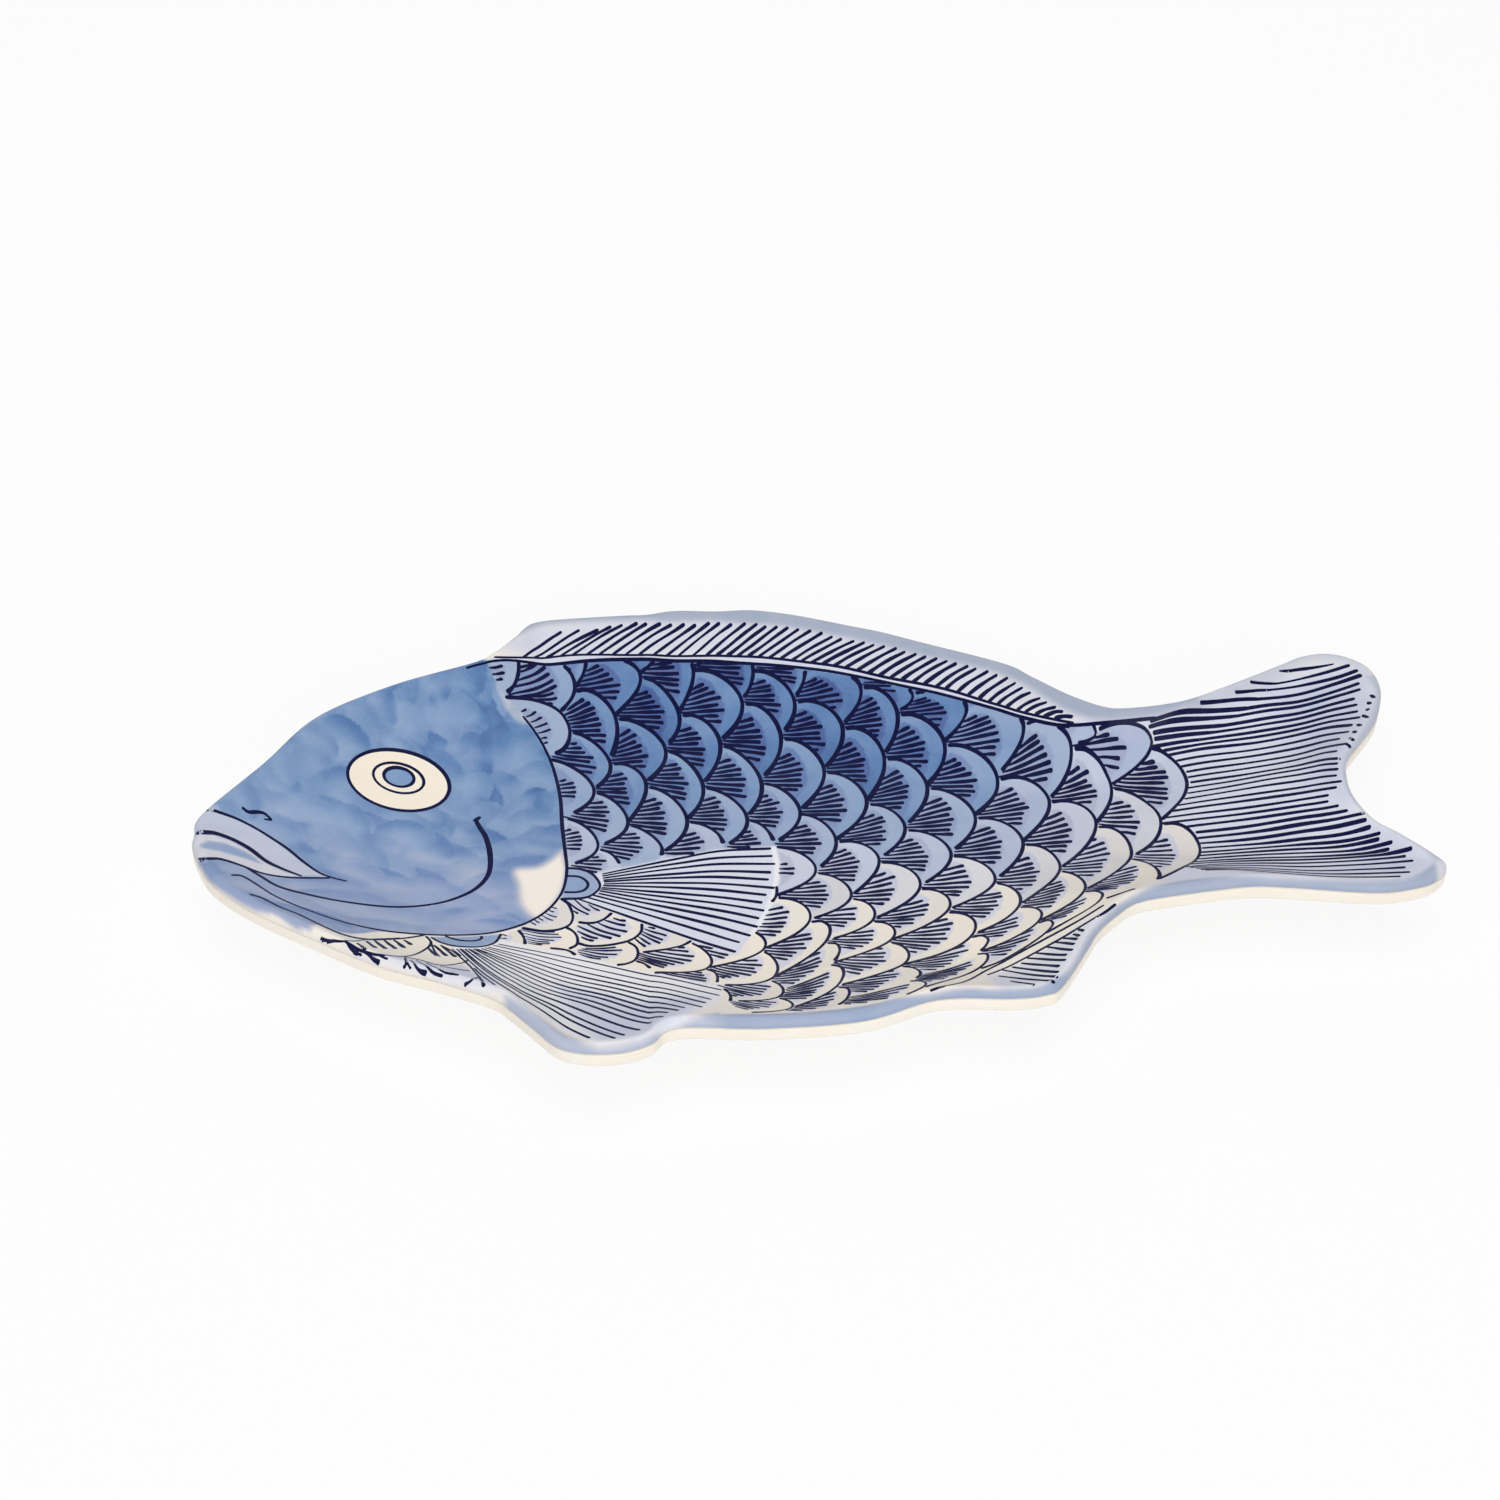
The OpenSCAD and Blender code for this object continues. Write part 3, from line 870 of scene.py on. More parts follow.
# The round end of a scale, from its upper joint over the tip to its lower joint, on a scale
# that is SCALE_DEEP long from the joints to the tip and SCALE_HALF high on each side
SCALE_END = [
    (-10.4, 11.9), (-7.4, 11.3), (-4.6, 9.7), (-2.0, 6.9), (-0.4, 3.5), (0, 0), (-1.2, -3.7), (-3.6, -7.0),
    (-6.6, -9.8), (-10.0, -12.4),
]
SCALE_DEEP, SCALE_HALF = 10.2, 12.8
# Where the fan of hatching stops
FAN_END = [
    (-9.8, 9.4), (-8.1, 8.6), (-6.7, 7.0), (-5.7, 4.4), (-5.2, 1.4), (-5.4, -1.4), (-6.4, -4.0), (-8.0, -6.4),
    (-9.8, -8.4),
]


def scale_tip(row, number):
    """Where a scale's tip is; beyond the ends of a row its spacing goes on."""
    first, tips = SCALE_TIPS[row]
    i = int(number - first)
    if i < 0:
        return tips[0] + i * (tips[1] - tips[0])
    if i >= len(tips):
        return tips[-1] + (i - len(tips) + 1) * (tips[-1] - tips[-2])
    return tips[i]


def turned_left(v):
    return np.array((-v[1], v[0]))


class Scale:
    # The brush's size on the freely fitted scales behind the head, and on those between the low fins
    FREE_SIZE, LOW_FREE_SIZE, FIRST_LOW_ROW = 1.0, 0.75, 5
    MOST, LEAST = 1.1, 0.35

    def __init__(self, row, number):
        self.row = row
        self.tip = scale_tip(row, number)
        self.root = scale_tip(row, number - 1)
        middle = (self.tip + self.root) / 2
        above = scale_tip(row - 1, number - 0.5) if row - 1 in SCALE_TIPS else None
        below = scale_tip(row + 1, number - 0.5) if row + 1 in SCALE_TIPS else 2 * middle - above
        above = 2 * middle - below if above is None else above
        self.length = (self.tip - (above + below) / 2) / SCALE_DEEP
        self.height = (above - below) / 2 / SCALE_HALF
        self.end = curve_through([self.place(p) for p in SCALE_END], 1.0)
        self.fan = curve_through([self.place(p) for p in FAN_END], 1.0)
        self.area = np.vstack([self.end, [lerp(self.root, self.tip, -0.35)]])
        self.fan_area = np.vstack([self.fan, [lerp(self.root, self.tip, -0.05)]])
        # Low scales on the belly, seen edge on, are drawn with a finer brush
        across = turned_left(self.tip - self.root) / np.linalg.norm(self.tip - self.root)
        self.size = min(self.MOST, max(self.LEAST, abs((above - below) @ across) / 2 / SCALE_HALF))
        # The hatching spreads from a point hidden under the scales in front
        self.origin = lerp(self.tip, self.root, 1.65) + 0.35 * (above - below) / 2
        self.feet = None
        if (row, number) in FREE_SCALES:
            end, corners, feet, stops, self.strokes = FREE_SCALES[row, number]
            self.end = curve_through(seen_path(end), 1.0)
            self.area = np.vstack([self.end, seen_path(corners)])
            self.feet = curve_through(seen_path(feet), 1.0)
            self.fan = curve_through(seen_path(stops), 1.0)
            self.fan_area = np.vstack([self.fan, self.feet[::-1]])
            self.size = self.FREE_SIZE if row < self.FIRST_LOW_ROW else self.LOW_FREE_SIZE

    def place(self, p):
        return self.tip + self.length * p[0] + self.height * p[1]


scales = [Scale(row, first + i) for row, (first, tips) in SCALE_TIPS.items() for i in range(1, len(tips))]
# A scale lies over those nearer to the tail
scales.sort(key=lambda s: -s.tip[0])

# The dense painted face

GRID = 0.78
rows = []
y, shift = -PLATTER_W / 2, 0
while y < PLATTER_W / 2:
    xs = np.arange(-PLATTER_LEN / 2 + shift, PLATTER_LEN / 2, GRID)
    rows.append(np.column_stack([xs, np.full(len(xs), y)]))
    y += GRID * math.sqrt(3) / 2
    shift = GRID / 2 - shift
grid = np.concatenate(rows)
lip_path = inset(dish.rim, LIP_R)
grid = grid[inside(inset(dish.rim, LIP_R + 0.5), grid)]
count = len(lip_path)
flat_points, _, triangles, _, _, _ = geometry.delaunay_2d_cdt(
    [Vector(p) for p in np.concatenate([lip_path, grid]).tolist()],
    [(i, (i + 1) % count) for i in range(count)], [], 1, 1e-6,
)
flat = np.array([tuple(p) for p in flat_points])
on_lip = [surface.near(x, y, PLATTER_H) for x, y in flat[:count]]
within = [surface.under(x, y) or surface.near(x, y, FLOOR_Z) for x, y in flat[count:]]
places, facings = (np.array(part) for part in zip(*on_lip, *within))
places[:count] = dish.edge_ring(LIP_R, PLATTER_H)
lips = np.concatenate(dish.lip_rings(LIP_ANGLES))
below_rings = (dish.lip_rings((90, 60, 30), GLAZE_T)
               + dish.wall_rings(np.linspace(1, 0, 12), GLAZE_T))
below = np.concatenate(below_rings)
first = len(places)
face_points = np.vstack([places, lips, below])
down = np.tile((0, 0, -1.0), (len(below), 1))
face_normals = np.vstack([facings, [surface.near(*p)[1] for p in lips], down])
here = np.arange(count)
after = (here + 1) % count
first_band = np.stack([after, first + after, first + here, here], 1).tolist()
bands = len(LIP_ANGLES) + len(below_rings) - 1
lip_bands = (np.concatenate([band_faces(count, k, k + 1) for k in range(bands)]) + first).tolist()
last = first + bands * count
turned = []
for t in triangles:
    a, b, c = (flat[i] for i in t)
    facing_up = (b[0] - a[0]) * (c[1] - a[1]) > (b[1] - a[1]) * (c[0] - a[0])
    turned.append(tuple(t) if facing_up else tuple(t[::-1]))
face_faces = turned + [tuple(f) for f in first_band + lip_bands] + [tuple(last + here)]
painted_face = make_piece("painted_face", face_points, face_faces, PAINT, face_normals)
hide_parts("face_glaze")

# The wash

plan = face_points[:, :2]
cobalt = np.full(len(plan), 0.03)
cream = np.full(len(plan), 0.7)
violet = np.full(len(plan), 0.3)


def cover(area, soft):
    """How fully each place of the face lies in an area whose edge fades over soft millimetres."""
    low_corner, high_corner = area.min(0) - soft, area.max(0) + soft
    near = np.nonzero((plan > low_corner).all(1) & (plan < high_corner).all(1))[0]
    share = np.zeros(len(plan))
    if len(near):
        closed = np.vstack([area, area[:1]])
        away = distance_to(closed, plan[near])
        signed = np.where(inside(area, plan[near]), away, -away)
        share[near] = ease(signed / soft + 0.5)
    return share


def wash(area, density, warmth=None, soft=1.0, share=None):
    """Lays one even wash over an area, or over given shares of the places."""
    share = cover(area, soft) if share is None else share
    cobalt[:] = lerp(cobalt, density, share)
    if warmth is not None:
        cream[:] = lerp(cream, warmth, share)


def beyond(pixels, outward):
    """The area from a line out past the rim."""
    line = curve_through(seen_path(pixels), 3)
    return np.vstack([line, line[::-1] + outward])


def washes(table):
    """Even washes, each with the pixels round it, its density, its warmth and how soft its edge is."""
    for pixels, *settings in table:
        wash(seen_path(pixels), *settings)


# Pale grounds of the tail, the dorsal fin and the anal fin
washes([
    ([(1040, 700), (1200, 640), (1400, 630), (1420, 720), (1390, 800), (1470, 860), (1440, 900), (1300, 900),
      (1160, 900), (1150, 800)], 0.11, 0.05, 14),
    ([(1270, 690), (1330, 672), (1368, 678), (1374, 700), (1352, 745), (1340, 790), (1312, 780),
      (1290, 730)], 0.2, 0.0, 18),
    ([(1380, 835), (1430, 855), (1436, 866), (1400, 876), (1350, 868)], 0.2, 0.0, 18),
    ([(500, 650), (520, 620), (700, 600), (900, 620), (1075, 690), (1074, 723), (941, 690),
      (700, 656)], 0.12, 0.15, 8),
    ([(987, 977), (1110, 910), (1100, 935), (1080, 960), (1060, 992), (1000, 996)], 0.1, 0.2, 5),
])
wash(np.vstack([dorsal_upper, dorsal_lower[::-1]]), 0.13, 0.05, 1)

# Loose bands inside the rim, partly cobalt wash and partly painted shade where the wall rises to the lip: the
# inner edge of each, the way outwards, the density, how soft it is, and the warmth
RIM_WASHES_AND_SHADE = [
    ([(505, 640), (535, 627), (560, 623), (600, 621), (640, 620), (700, 621), (760, 624), (800, 629),
      (840, 636),
      (880, 645), (920, 655), (960, 664), (1000, 674), (1035, 690), (1062, 708), (1100, 719), (1155, 716),
      (1200, 703)], (0, 45), 0.36, 3.0, 0.5),
    ([(1200, 703), (1240, 690), (1280, 674), (1310, 662), (1345, 662), (1366, 676)], (0, 45), 0.2, 6.0, 0.3),
    ([(1366, 676), (1376, 694), (1371, 712), (1358, 736), (1347, 755), (1344, 775), (1350, 795), (1366, 812),
      (1395, 830), (1425, 850), (1434, 862)], (45, 0), 0.24, 2.0, 0.3),
    ([(1434, 864), (1410, 878), (1370, 881), (1320, 880), (1250, 877), (1190, 880), (1150, 888), (1120, 904),
      (1100, 922), (1086, 940), (1076, 960), (1064, 978)], (0, -45), 0.36, 2.5, 0.3),
    ([(1066, 974), (1040, 987), (1000, 990), (960, 989), (916, 996), (850, 1008), (790, 1013), (740, 1014),
      (700, 1017)], (0, -45), 0.38, 2.0, 0.2),
    ([(718, 1013), (695, 1018), (668, 1028), (640, 1040), (615, 1046), (590, 1045), (560, 1032),
      (530, 1010), (505, 994)],
     (0, -45), 0.28, 3.0, 0.2),
]
# Each band lays cobalt wash together with painted shade along the rim
for pixels, outward, density, soft, warmth in RIM_WASHES_AND_SHADE:
    wash(beyond(pixels, outward), density, warmth, soft)


def back_share(points):
    """1 on the blue back and 0 on the pale belly; less behind the head and toward the tail."""
    x, y = points[:, 0], points[:, 1]
    behind_head = 1 - 0.45 * ease((-48 - x) / 26)
    toward_tail = 1 - 0.55 * ease((x - 50) / 50)
    return ease((y + 48) / 100) * behind_head * toward_tail


def scale_blue(back):
    return 0.05 + 0.57 * back


def scale_warmth(back):
    return 0.9 - 0.9 * ease(back * 3)


# Under the scales the body has their colour already, as far as the root of the tail
SCALES_END_X, SCALES_FADE = 80.0, 10
in_body = inside(body_area, plan)
body_places = np.nonzero(in_body)[0]
back_here = back_share(plan[body_places])
before_tail = 1 - ease((plan[body_places, 0] - SCALES_END_X) / SCALES_FADE)
cobalt[body_places] = lerp(cobalt[body_places], scale_blue(back_here), before_tail)
cream[body_places] = lerp(cream[body_places], scale_warmth(back_here), before_tail)
for scale in scales:
    box_low, box_high = scale.area.min(0) - 1, scale.area.max(0) + 1
    near = np.nonzero(in_body & (plan > box_low).all(1) & (plan < box_high).all(1))[0]
    near = near[inside(scale.area, plan[near])]
    if not len(near):
        continue
    back = back_share(scale.tip[None])[0]
    tone = rng.uniform(-0.03, 0.03)
    # The crescent, pooled a little darker towards its lower joint
    pooled = 0.05 * np.clip((scale.tip[1] - plan[near, 1]) / SCALE_HALF, -1, 1)
    cobalt[near] = scale_blue(back) + tone + pooled * back
    cream[near] = scale_warmth(back)
    violet[near] = 0.15
    fan = near[inside(scale.fan_area, plan[near])]
    cobalt[fan] = 0.12 + 0.6 * back + tone
    cream[fan] = 0.15
    violet[fan] = 0.75

# The head: overlapping brush dabs, each crisp on the side where the brush was pressed
rim_top = [(195, 850), (193, 830), (206, 808), (300, 733), (400, 684), (470, 662)]
head_area = np.vstack([
    beyond(rim_top, (-12, 14))[len(curve_through(seen_path(rim_top), 3)):][::-1],
    head_edge, gill_cover, throat, chin_edge,
])
head_cover = cover(head_area, 1.2)
head_plan = plan[head_cover > 0]
head_cobalt = 0.44 + 0.1 * ease((head_plan[:, 1] + 40) / 90)
head_violet = 0.65 - 0.6 * ease((head_plan[:, 1] + 45) / 80)
head_low, head_high = head_area.min(0), head_area.max(0)
DABS = 420
for i in range(DABS):
    middle = np.array((rng.uniform(head_low[0], head_high[0]), rng.uniform(head_low[1], head_high[1])))
    up_high = float(ease((middle[1] + 30) / 60))
    # Rounder dabs on the forehead, and long flat ones on the cheek
    long_half = rng.uniform(6, 11) + rng.uniform(2, 14) * (1 - up_high)
    short_half = rng.uniform(4.5, 8) - 1.5 * (1 - up_high)
    lie = rng.uniform(-1.3, 1.0) * up_high + rng.uniform(-0.35, 0.35)
    to_snout = float(ease((-60 - middle[0]) / 60))
    tone = 0.45 + 0.1 * up_high - 0.07 * to_snout + rng.uniform(-0.08, 0.08)
    u = (head_plan - middle) @ np.array((math.cos(lie), math.sin(lie))) / long_half
    v = (head_plan - middle) @ np.array((-math.sin(lie), math.cos(lie))) / short_half
    v = v + 0.4 * u ** 2 - 0.2
    reach = 1 - np.sqrt(u ** 2 + v ** 2)
    # Dark and crisp where the brush was pressed, on one side of the dab, and thin at the other
    pressed = ease(0.5 + 0.55 * v + 0.3 * u)
    share = ease(reach / lerp(0.8, 0.05, pressed)) * lerp(0.25, 0.85, pressed)
    head_cobalt = lerp(head_cobalt, tone + lerp(-0.12, 0.12, pressed), share)
    head_violet = lerp(head_violet, 0.65 - 0.6 * up_high + rng.uniform(-0.25, 0.25), share * 0.5)
in_head = head_cover > 0
painted = ((cobalt, np.clip(head_cobalt, 0.2, 0.75)), (violet, np.clip(head_violet, 0, 1)), (cream, 0.0))
for values, head_values in painted:
    values[in_head] = lerp(values[in_head], head_values, head_cover[in_head])

# Cream left bare on the head
BARE_PATCHES = [
    ([(563, 850), (540, 866), (515, 870), (518, 885), (522, 905), (538, 918), (560, 896),
      (567, 872)], 4.0, 1.0),
    ([(497, 688), (512, 704), (530, 722), (520, 722), (508, 712)], 2.0, 0.5),
    ([(470, 850), (487, 856), (488, 872), (478, 884), (466, 882), (455, 870)], 8.0, 0.2),
    ([(350, 936), (380, 931), (425, 934), (425, 938), (380, 941)], 1.0, 0.9),
]
for pixels, soft, strength in BARE_PATCHES:
    patch = curve_through(seen_path(pixels + pixels[:1]), 1)
    wash(None, 0.02, 0.8, share=cover(patch, soft) * strength)

upper_lip, lower_lip = seen_path(UPPER_LIP), seen_path(LOWER_LIP)
# Both lips run on over the rim
upper_lip[:3] -= [(6, 0), (6, -2), (2, -6)]
lower_lip[:3] -= (6, 0)
wash(upper_lip, 0.22, 0.1, 1.2)
wash(lower_lip, 0.14, 0.3, 1.2)
washes([
    (LOWER_LIP_SHADE, 0.42, 0.0, 1.2),
    (oval_pixels(*EYE_RINGS[0]), 0.03, 1.0, 0.6),
    (oval_pixels(*EYE_RINGS[2]), 0.5, 0.0, 0.6),
    # The throat and its scales
    ([(345, 944), (430, 938), (500, 950), (520, 1000), (440, 990), (360, 965)], 0.1, 0.1, 4),
    ([(350, 942), (400, 940), (428, 938), (462, 950), (482, 978), (462, 965), (440, 966), (405, 957),
      (370, 953)], 0.0, 0.9, 1),
    # The fins, the pale end of the upper one and the shade in the lower one
    (PECTORAL_AREA, 0.1, 0.0, 1.0),
    ([(776, 846), (780, 862), (780, 880), (775, 896), (770, 910), (762, 925), (752, 937), (748, 935),
      (757, 923), (765, 909), (770, 895), (774, 880), (774, 862), (771, 847)], 0.02, 0.1, 0.8),
    (PELVIC_AREA, 0.02, 0.15, 1.5),
    ([(560, 985), (660, 1000), (705, 998), (680, 1018), (640, 1036), (598, 1040), (570, 1010)],
     0.15, 0.0, 8),
    (PECTORAL_BASE, 0.4, 0.0, 0.8),
    (PECTORAL_EYE, 0.46, 0.0, 0.8),
    (PELVIC_BASE, 0.42, 0.0, 0.8),
])

for name, values in (("cobalt", cobalt), ("cream", cream), ("violet", violet)):
    add_numbers(painted_face, name, values)


# The lines

# How unevenly the hand spaces the strokes of a fin and ends them, as a share of their spacing and length
UNEVEN = 0.08


def visible_runs(path, keep):
    """The parts of a path where keep is true, as paths of more than three points."""
    cuts = np.nonzero(keep[1:] != keep[:-1])[0] + 1
    parts = zip(np.split(path, cuts), np.split(keep, cuts))
    return [run for run, kept in parts if kept[0] and len(run) > 3]


def rays(layer, guides, stretches, stray=0.2, keep=None, base=None):
    """Strokes spaced between guide lines, with a stretch from each guide to the next: its number of
    steps and the widths of its strokes. Where a base line is given, every stroke starts on it."""
    lines = [seen_path(guide) for guide in guides]
    for a, b, (count, widths) in zip(lines, lines[1:], stretches):
        for i in range(count):
            path = lerp(a, b, (i + rng.uniform(-UNEVEN, UNEVEN)) / count)
            path[-1] += (path[-1] - path[-2]) * rng.uniform(-UNEVEN, UNEVEN)
            path = path + rng.uniform(-stray, stray) * np.array((0.3, 1))
            if base is not None:
                path = path + base[np.argmin(np.linalg.norm(base - path[0], axis=1))] - path[0]
            ray(layer, path, widths, keep)
    ray(layer, lines[-1], widths, keep)


def ray(layer, path, widths, keep):
    weight = rng.uniform(0.9, 1.1)
    widths = [w * weight for w in widths]
    if keep is None:
        layer.stroke(path, widths)
        return
    fine = curve_through(path, 1.0)
    for run in visible_runs(fine, keep(fine)):
        layer.stroke(thinned(run, 4, 12), widths)


def thinned(run, step, most):
    """Every so many points of a run that has more than most."""
    return run[::step] if len(run) > most else run


def not_in(*areas):
    def keep(points):
        shown = np.ones(len(points), bool)
        for area in areas:
            shown &= ~inside(area, points)
        return shown
    return keep


# Strokes in the fan of hatching on a scale of the usual size
FAN_STROKES = 9.6
# Scales whose tips are further apart than this never meet
NEIGHBOURS = 50
OUTLINE_WIDTHS = (1.5, 1.25, 1.2, 1.3, 1.8)
FAN_WIDTHS = (0.75, 1.25, 1.5, 1.6)
# How far the strokes of one piece stand over those of another that they cross
OVER = 0.012
scale_lines = Strokes("scale_outlines", OVER)
scale_hatching = Strokes("scale_hatching")
fins = [seen_path(area) for area in (PECTORAL_AREA, PELVIC_AREA, PECTORAL_BASE, PELVIC_BASE)]
for index, scale in enumerate(scales):
    over = [s.area for s in scales[index + 1:] if np.linalg.norm(s.tip - scale.tip) < NEIGHBOURS]
    uncovered = not_in(*fins, *over)

    def open_here(points):
        return inside(body_area, points) & uncovered(points)

    back = back_share(scale.tip[None])[0]
    for run in visible_runs(scale.end, open_here(scale.end)):
        weight = lerp(0.8, 1.1, back) * lerp(0.6, 1, scale.size)
        widths = [w * weight for w in OUTLINE_WIDTHS]
        scale_lines.stroke(thinned(run, 3, 8), widths, (0.95, lerp(0.8, 1.0, back), 0.95))
    strokes = round(FAN_STROKES * scale.size ** 0.4 + rng.uniform(-0.5, 0.5))
    weight = lerp(0.9, 1.1, back) * scale.size ** 0.6
    if scale.feet is not None:
        strokes = scale.strokes
    # At their widest the strokes leave a fifth of their spacing bare
    spread = abs((scale.fan[0] - scale.fan[-1]) @ turned_left(scale.tip - scale.root))
    pitch = spread / np.linalg.norm(scale.tip - scale.root) / strokes
    widths = [w * min(weight, 0.5 * pitch) for w in FAN_WIDTHS]
    for i in range(strokes):
        share = (i + 0.5 + rng.uniform(-0.1, 0.1)) / strokes
        start = scale.origin
        if scale.feet is not None:
            share = i / (strokes - 1)
            start = along(scale.feet, share)
        end = along(scale.fan, share)
        path = curve_through([start, lerp(start, end, 0.5) - turned_left(end - start) * 0.05, end], 0.8)
        in_sight = open_here(path) if scale.feet is None else uncovered(path)
        runs = visible_runs(path, in_sight & inside(scale.area, path))
        if runs and len(runs[-1]) > (5 if scale.feet is None else 3):
            scale_hatching.stroke(runs[-1][::3], widths, (0.9, lerp(0.8, 1.0, back)))
scale_lines.make()
scale_hatching.make()

dorsal_lines = Strokes("dorsal_lines", lift=0.01)
dorsal_lines.stroke(seen_path(DORSAL_UPPER), (0.6, 0.85, 0.85, 0.9, 0.9), (0.95, 0.95))
dorsal_lines.stroke(seen_path(DORSAL_LOWER), (0.7, 1.2, 1.1, 1.0, 1.0, 1.1, 0.7), (1.0, 1.0))
dorsal_lines.make()
dorsal_rays = Strokes("dorsal_rays")
ray_feet = evenly(dorsal_upper, 0.3)
DORSAL_STRETCHES = [
    (2, (0.9, 0.9, 1.2)), (12, (0.9, 0.9, 1.25)), (10, (1.25, 1.05, 1.2)), (15, (1.45, 1.2, 1.05)),
    (8, (1.5, 1.25, 1.0)),
]
rays(dorsal_rays, DORSAL_RAYS, DORSAL_STRETCHES, base=ray_feet)
dorsal_rays.make()

tail_rays = Strokes("tail_rays", over_lip=True)
for pixels, widths in zip(TAIL_TOP, [(0.4, 1.4, 0.5), (0.6, 0.8, 1.5), (0.7, 0.9, 1.8), (0.8, 1.0, 1.9)]):
    tail_rays.stroke(seen_path(pixels), widths, (0.95, 0.95))
TAIL_ROOT_X = 70
last_scales = [s.area for s in scales if s.tip[0] > TAIL_ROOT_X]
HIGH, MIDDLE, LOW = (0.9, 1.05, 1.1, 1.25, 1.5), (1.0, 1.1, 1.15, 1.2, 1.3), (1.2, 1.15, 1.15, 1.2, 1.3)
TAIL_STRETCHES = [(6, HIGH), (5, HIGH), (7, MIDDLE), (6, MIDDLE), (5, LOW), (4, LOW)]
rays(tail_rays, TAIL_RAYS, TAIL_STRETCHES, stray=0.12, keep=not_in(*last_scales))
tail_rays.draw(TAIL_RIM_DASHES, (1.1, 1.7), (0.95, 0.95), spacing=0.5)
tail_rays.make()

pectoral_fin = Strokes("pectoral_fin", OVER)
rays(pectoral_fin, PECTORAL_RAYS, [(steps, (0.65, 0.9, 1.1, 1.15)) for steps in (5, 5, 3)])
pectoral_fin.draw([PECTORAL_BASE, PECTORAL_EYE], (1.0, 0.9, 1.0), (0.9, 0.9))
pectoral_fin.make()

pelvic_fin = Strokes("pelvic_fin", OVER, over_lip=True)
rays(pelvic_fin, PELVIC_RAYS, [
    (2, (0.6, 0.9, 1.3)), (2, (0.6, 0.9, 1.25)), (4, (0.55, 0.8, 1.15)), (3, (0.45, 0.65, 0.95)),
    (2, (0.4, 0.55, 0.7)),
])
pelvic_fin.draw([PELVIC_BASE, PELVIC_EYE], (0.9, 0.8, 0.9), (0.9, 0.9))
pelvic_fin.make()

anal_fin = Strokes("anal_fin", OVER, over_lip=True)
anal_fin.draw(ANAL_LINES, (0.8, 1.0, 1.0), (0.85, 0.9))
anal_fin.draw(ANAL_RAYS, (0.9, 1.1, 1.4), (0.85, 0.95))
anal_fin.make()

HEAD_BRUSH = 1.12
head_lines = Strokes("head_lines", OVER)
head_lines.stroke(seen_path(GILL_COVER + THROAT[:1]), (0.8, 1.2, 1.2, 1.0, 0.9), (0.9, 0.9))
for pixels, widths in HEAD_LINES:
    head_lines.stroke(seen_path(pixels), [HEAD_BRUSH * w for w in widths], (0.9, 0.9), spacing=0.8)
head_lines.make()

throat_lines = Strokes("throat_lines", OVER, over_lip=True)
for pixels, widths in THROAT_LINES:
    throat_lines.stroke(seen_path(pixels), widths, (0.85, 0.95), spacing=0.6)
throat_lines.make()

eye_rings = Strokes("eye_rings", OVER)
for ring, width in zip(EYE_RINGS, EYE_WIDTHS):
    pixels = oval_pixels(*ring)
    widths = (width, width * 0.8, width * 1.1, width)
    eye_rings.stroke(seen_path(pixels + pixels[:2]), widths, (0.9, 0.9), spacing=0.8)
eye_rings.make()


# The back, the clay and the foot

# Down the outside of the foot: the distance in from its wall, and the height
BACK_PROFILE = [
    (-0.9, FOOT_H - GLAZE_T - 0.1), (-GLAZE_T - 0.2, FOOT_H - GLAZE_T - 0.35),
    (-GLAZE_T, FOOT_H - GLAZE_T - 0.9), (-GLAZE_T, BARE_H + 0.4), (-0.25, BARE_H),
]
back_rings = (
    dish.lip_rings((90,)) + dish.edge_rings() + dish.under_rings(np.linspace(1, 0, 20))
    + [dish.foot_ring(*step) for step in BACK_PROFILE]
)
inner_rings = (
    [dish.foot_ring(0, BARE_H + 0.1), dish.foot_ring(0, FOOT_H)]
    + dish.under_rings(np.linspace(0, 1, 8), GLAZE_T) + [dish.edge_ring(GLAZE_T, EDGE_Z + UNDER_R)]
)
back_points = np.concatenate(back_rings + inner_rings)
glazed_back = make_piece(
    "glazed_back", back_points, stack_faces(count, len(back_rings) + len(inner_rings), looped=True),
    CREAM,
)
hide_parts("back_glaze")

# The clay under the glaze is hidden and coarse, so it stays a hair clear of the glaze
CLAY_DEPTH = GLAZE_T + 0.06
coarse = Dish(3)
clay_rings = (
    coarse.wall_rings(np.linspace(0, 1, 12), CLAY_DEPTH) + coarse.lip_rings((45, 90), CLAY_DEPTH)
    + coarse.edge_rings(CLAY_DEPTH) + coarse.under_rings(np.linspace(1, 0, 10), CLAY_DEPTH)
)
clay_dish = make_piece(
    "clay_dish", np.concatenate(clay_rings),
    stack_faces(len(coarse.rim), len(clay_rings), caps=("first", "last")), CLAY,
)
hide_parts("dish_body")

FOOT_PROFILE = [
    (0, FOOT_H), (0, 0.7), (0.2, 0.2), (0.7, 0), (FOOT_WALL - 0.7, 0), (FOOT_WALL - 0.2, 0.2),
    (FOOT_WALL, 0.7), (FOOT_WALL, FOOT_H),
]
foot_rings = [dish.foot_ring(*step) for step in FOOT_PROFILE]
unglazed_foot = make_piece(
    "unglazed_foot", np.concatenate(foot_rings), stack_faces(count, len(foot_rings), looped=True),
    CLAY,
)
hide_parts("foot_ring")

WELL_PROFILE = [
    (FOOT_WALL, FOOT_H), (FOOT_WALL, BARE_H), (FOOT_WALL + 0.25, BARE_H),
    (FOOT_WALL + GLAZE_T, BARE_H + 0.4), (FOOT_WALL + GLAZE_T, FOOT_H - 1.2),
    (FOOT_WALL + GLAZE_T + 0.3, FOOT_H - 0.7), (FOOT_WALL + GLAZE_T + 0.9, FOOT_H - GLAZE_T),
]
well_rings = [dish.foot_ring(*step) for step in WELL_PROFILE]
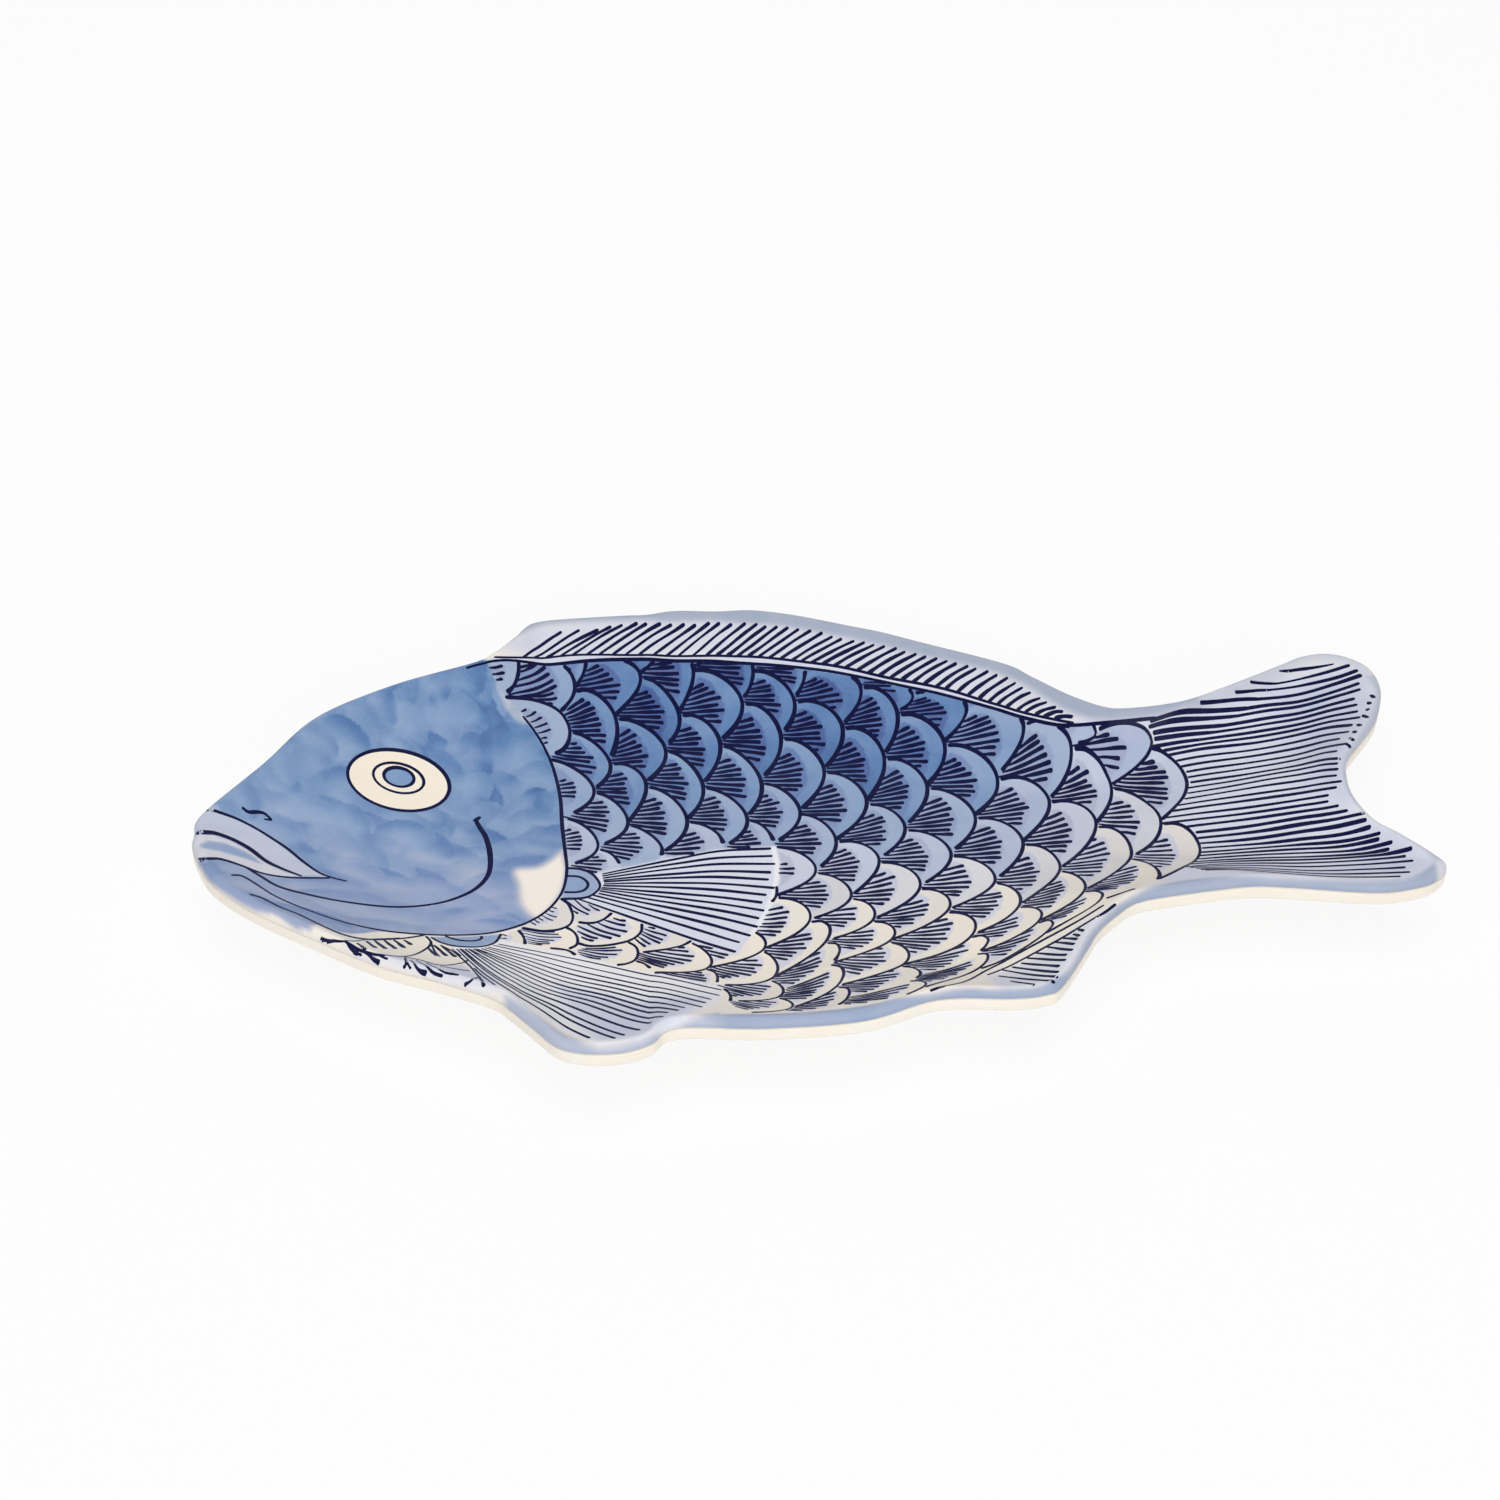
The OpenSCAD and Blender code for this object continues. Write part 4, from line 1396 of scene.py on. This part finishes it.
# The roof closes towards its middle: rings set in by one distance would cross at its narrow end
roof_middle = well_rings[-1].mean(0)
well_rings += [lerp(well_rings[-1], roof_middle, share) for share in (0.25, 0.5, 0.75)]
glazed_well = make_piece(
    "glazed_well", np.concatenate(well_rings), stack_faces(count, len(well_rings), caps=("first", "last")),
    CREAM,
)
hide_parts("well_glaze")


# Floor and light

FLOOR_HALF = 3.0
# How much of the floor is plain white; the rest shows the shadow
FLOOR_WHITE = 0.88


def background_share(tree):
    """1 for the rays that show the white surround: those of the camera, and those mirrored or let through."""
    path = put(tree, "LightPath").outputs
    mirrored = math_node(tree, "MAXIMUM", path["Is Glossy Ray"], path["Is Transmission Ray"])
    return math_node(tree, "MAXIMUM", path["Is Camera Ray"], mirrored)


def white_floor():
    """A matt white sweep. It shows as near pure white, with a soft part of the real shadow."""
    material, tree = new_material("white_sweep")
    matt = put(tree, "BsdfDiffuse", {"Color": linear("#F4F4F4"), "Roughness": 0.0})
    bright = put(tree, "Emission", {"Color": (1, 1, 1, 1), "Strength": 1.0})
    seen_share = math_node(tree, "MULTIPLY", background_share(tree), FLOOR_WHITE)
    shown = put(tree, "MixShader", {"Fac": seen_share, 1: matt.outputs[0], 2: bright.outputs[0]})
    finish_material(tree, shown)
    return material


floor_mesh = bpy.data.meshes.new("floor")
h = FLOOR_HALF
# A hair under the foot, so that the two faces don't lie in one plane
z = -0.1 * MM
floor_mesh.from_pydata([(-h, -h, z), (h, -h, z), (h, h, z), (-h, h, z)], [], [(0, 1, 2, 3)])
floor_mesh.materials.append(white_floor())
floor = bpy.data.objects.new("floor", floor_mesh)
bpy.context.scene.collection.objects.link(floor)


# Each with its place, size and watts. The mirror images of the first two would lie as a grey veil
# on the back of the fish, so the glaze doesn't mirror them.
SOFTBOXES = [
    ("overhead_softbox", (0.0, -0.1, 1.7), (1.8, 1.4), 18, False),
    ("back_softbox", (0.0, 1.7, 1.0), (1.8, 1.0), 8.5, False),
    ("left_softbox", (-1.5, -0.9, 1.1), (1.2, 1.0), 5, True),
    ("front_softbox", (0.3, -1.8, 0.8), (1.8, 1.0), 18, True),
]
for name, place, size, watts, mirrored in SOFTBOXES:
    lamp = bpy.data.lights.new(name, "AREA")
    lamp.shape = "RECTANGLE"
    lamp.size, lamp.size_y = size
    lamp.energy = watts
    box = bpy.data.objects.new(name, lamp)
    box.location = place
    box.rotation_euler = (-Vector(place)).to_track_quat("-Z", "Y").to_euler()
    box.visible_glossy = mirrored
    bpy.context.scene.collection.objects.link(box)

world = bpy.data.worlds.new("studio")
world.use_nodes = True
tree = world.node_tree
tree.nodes.clear()
dim, white = (put(tree, "Background", {"Color": (1, 1, 1, 1), "Strength": light}) for light in (0.15, 1.0))
mixed = put(tree, "MixShader", {"Fac": background_share(tree), 1: dim.outputs[0], 2: white.outputs[0]})
put(tree, "OutputWorld", {"Surface": mixed.outputs[0]})
bpy.context.scene.world = world
bpy.context.scene.view_settings.view_transform = "Standard"
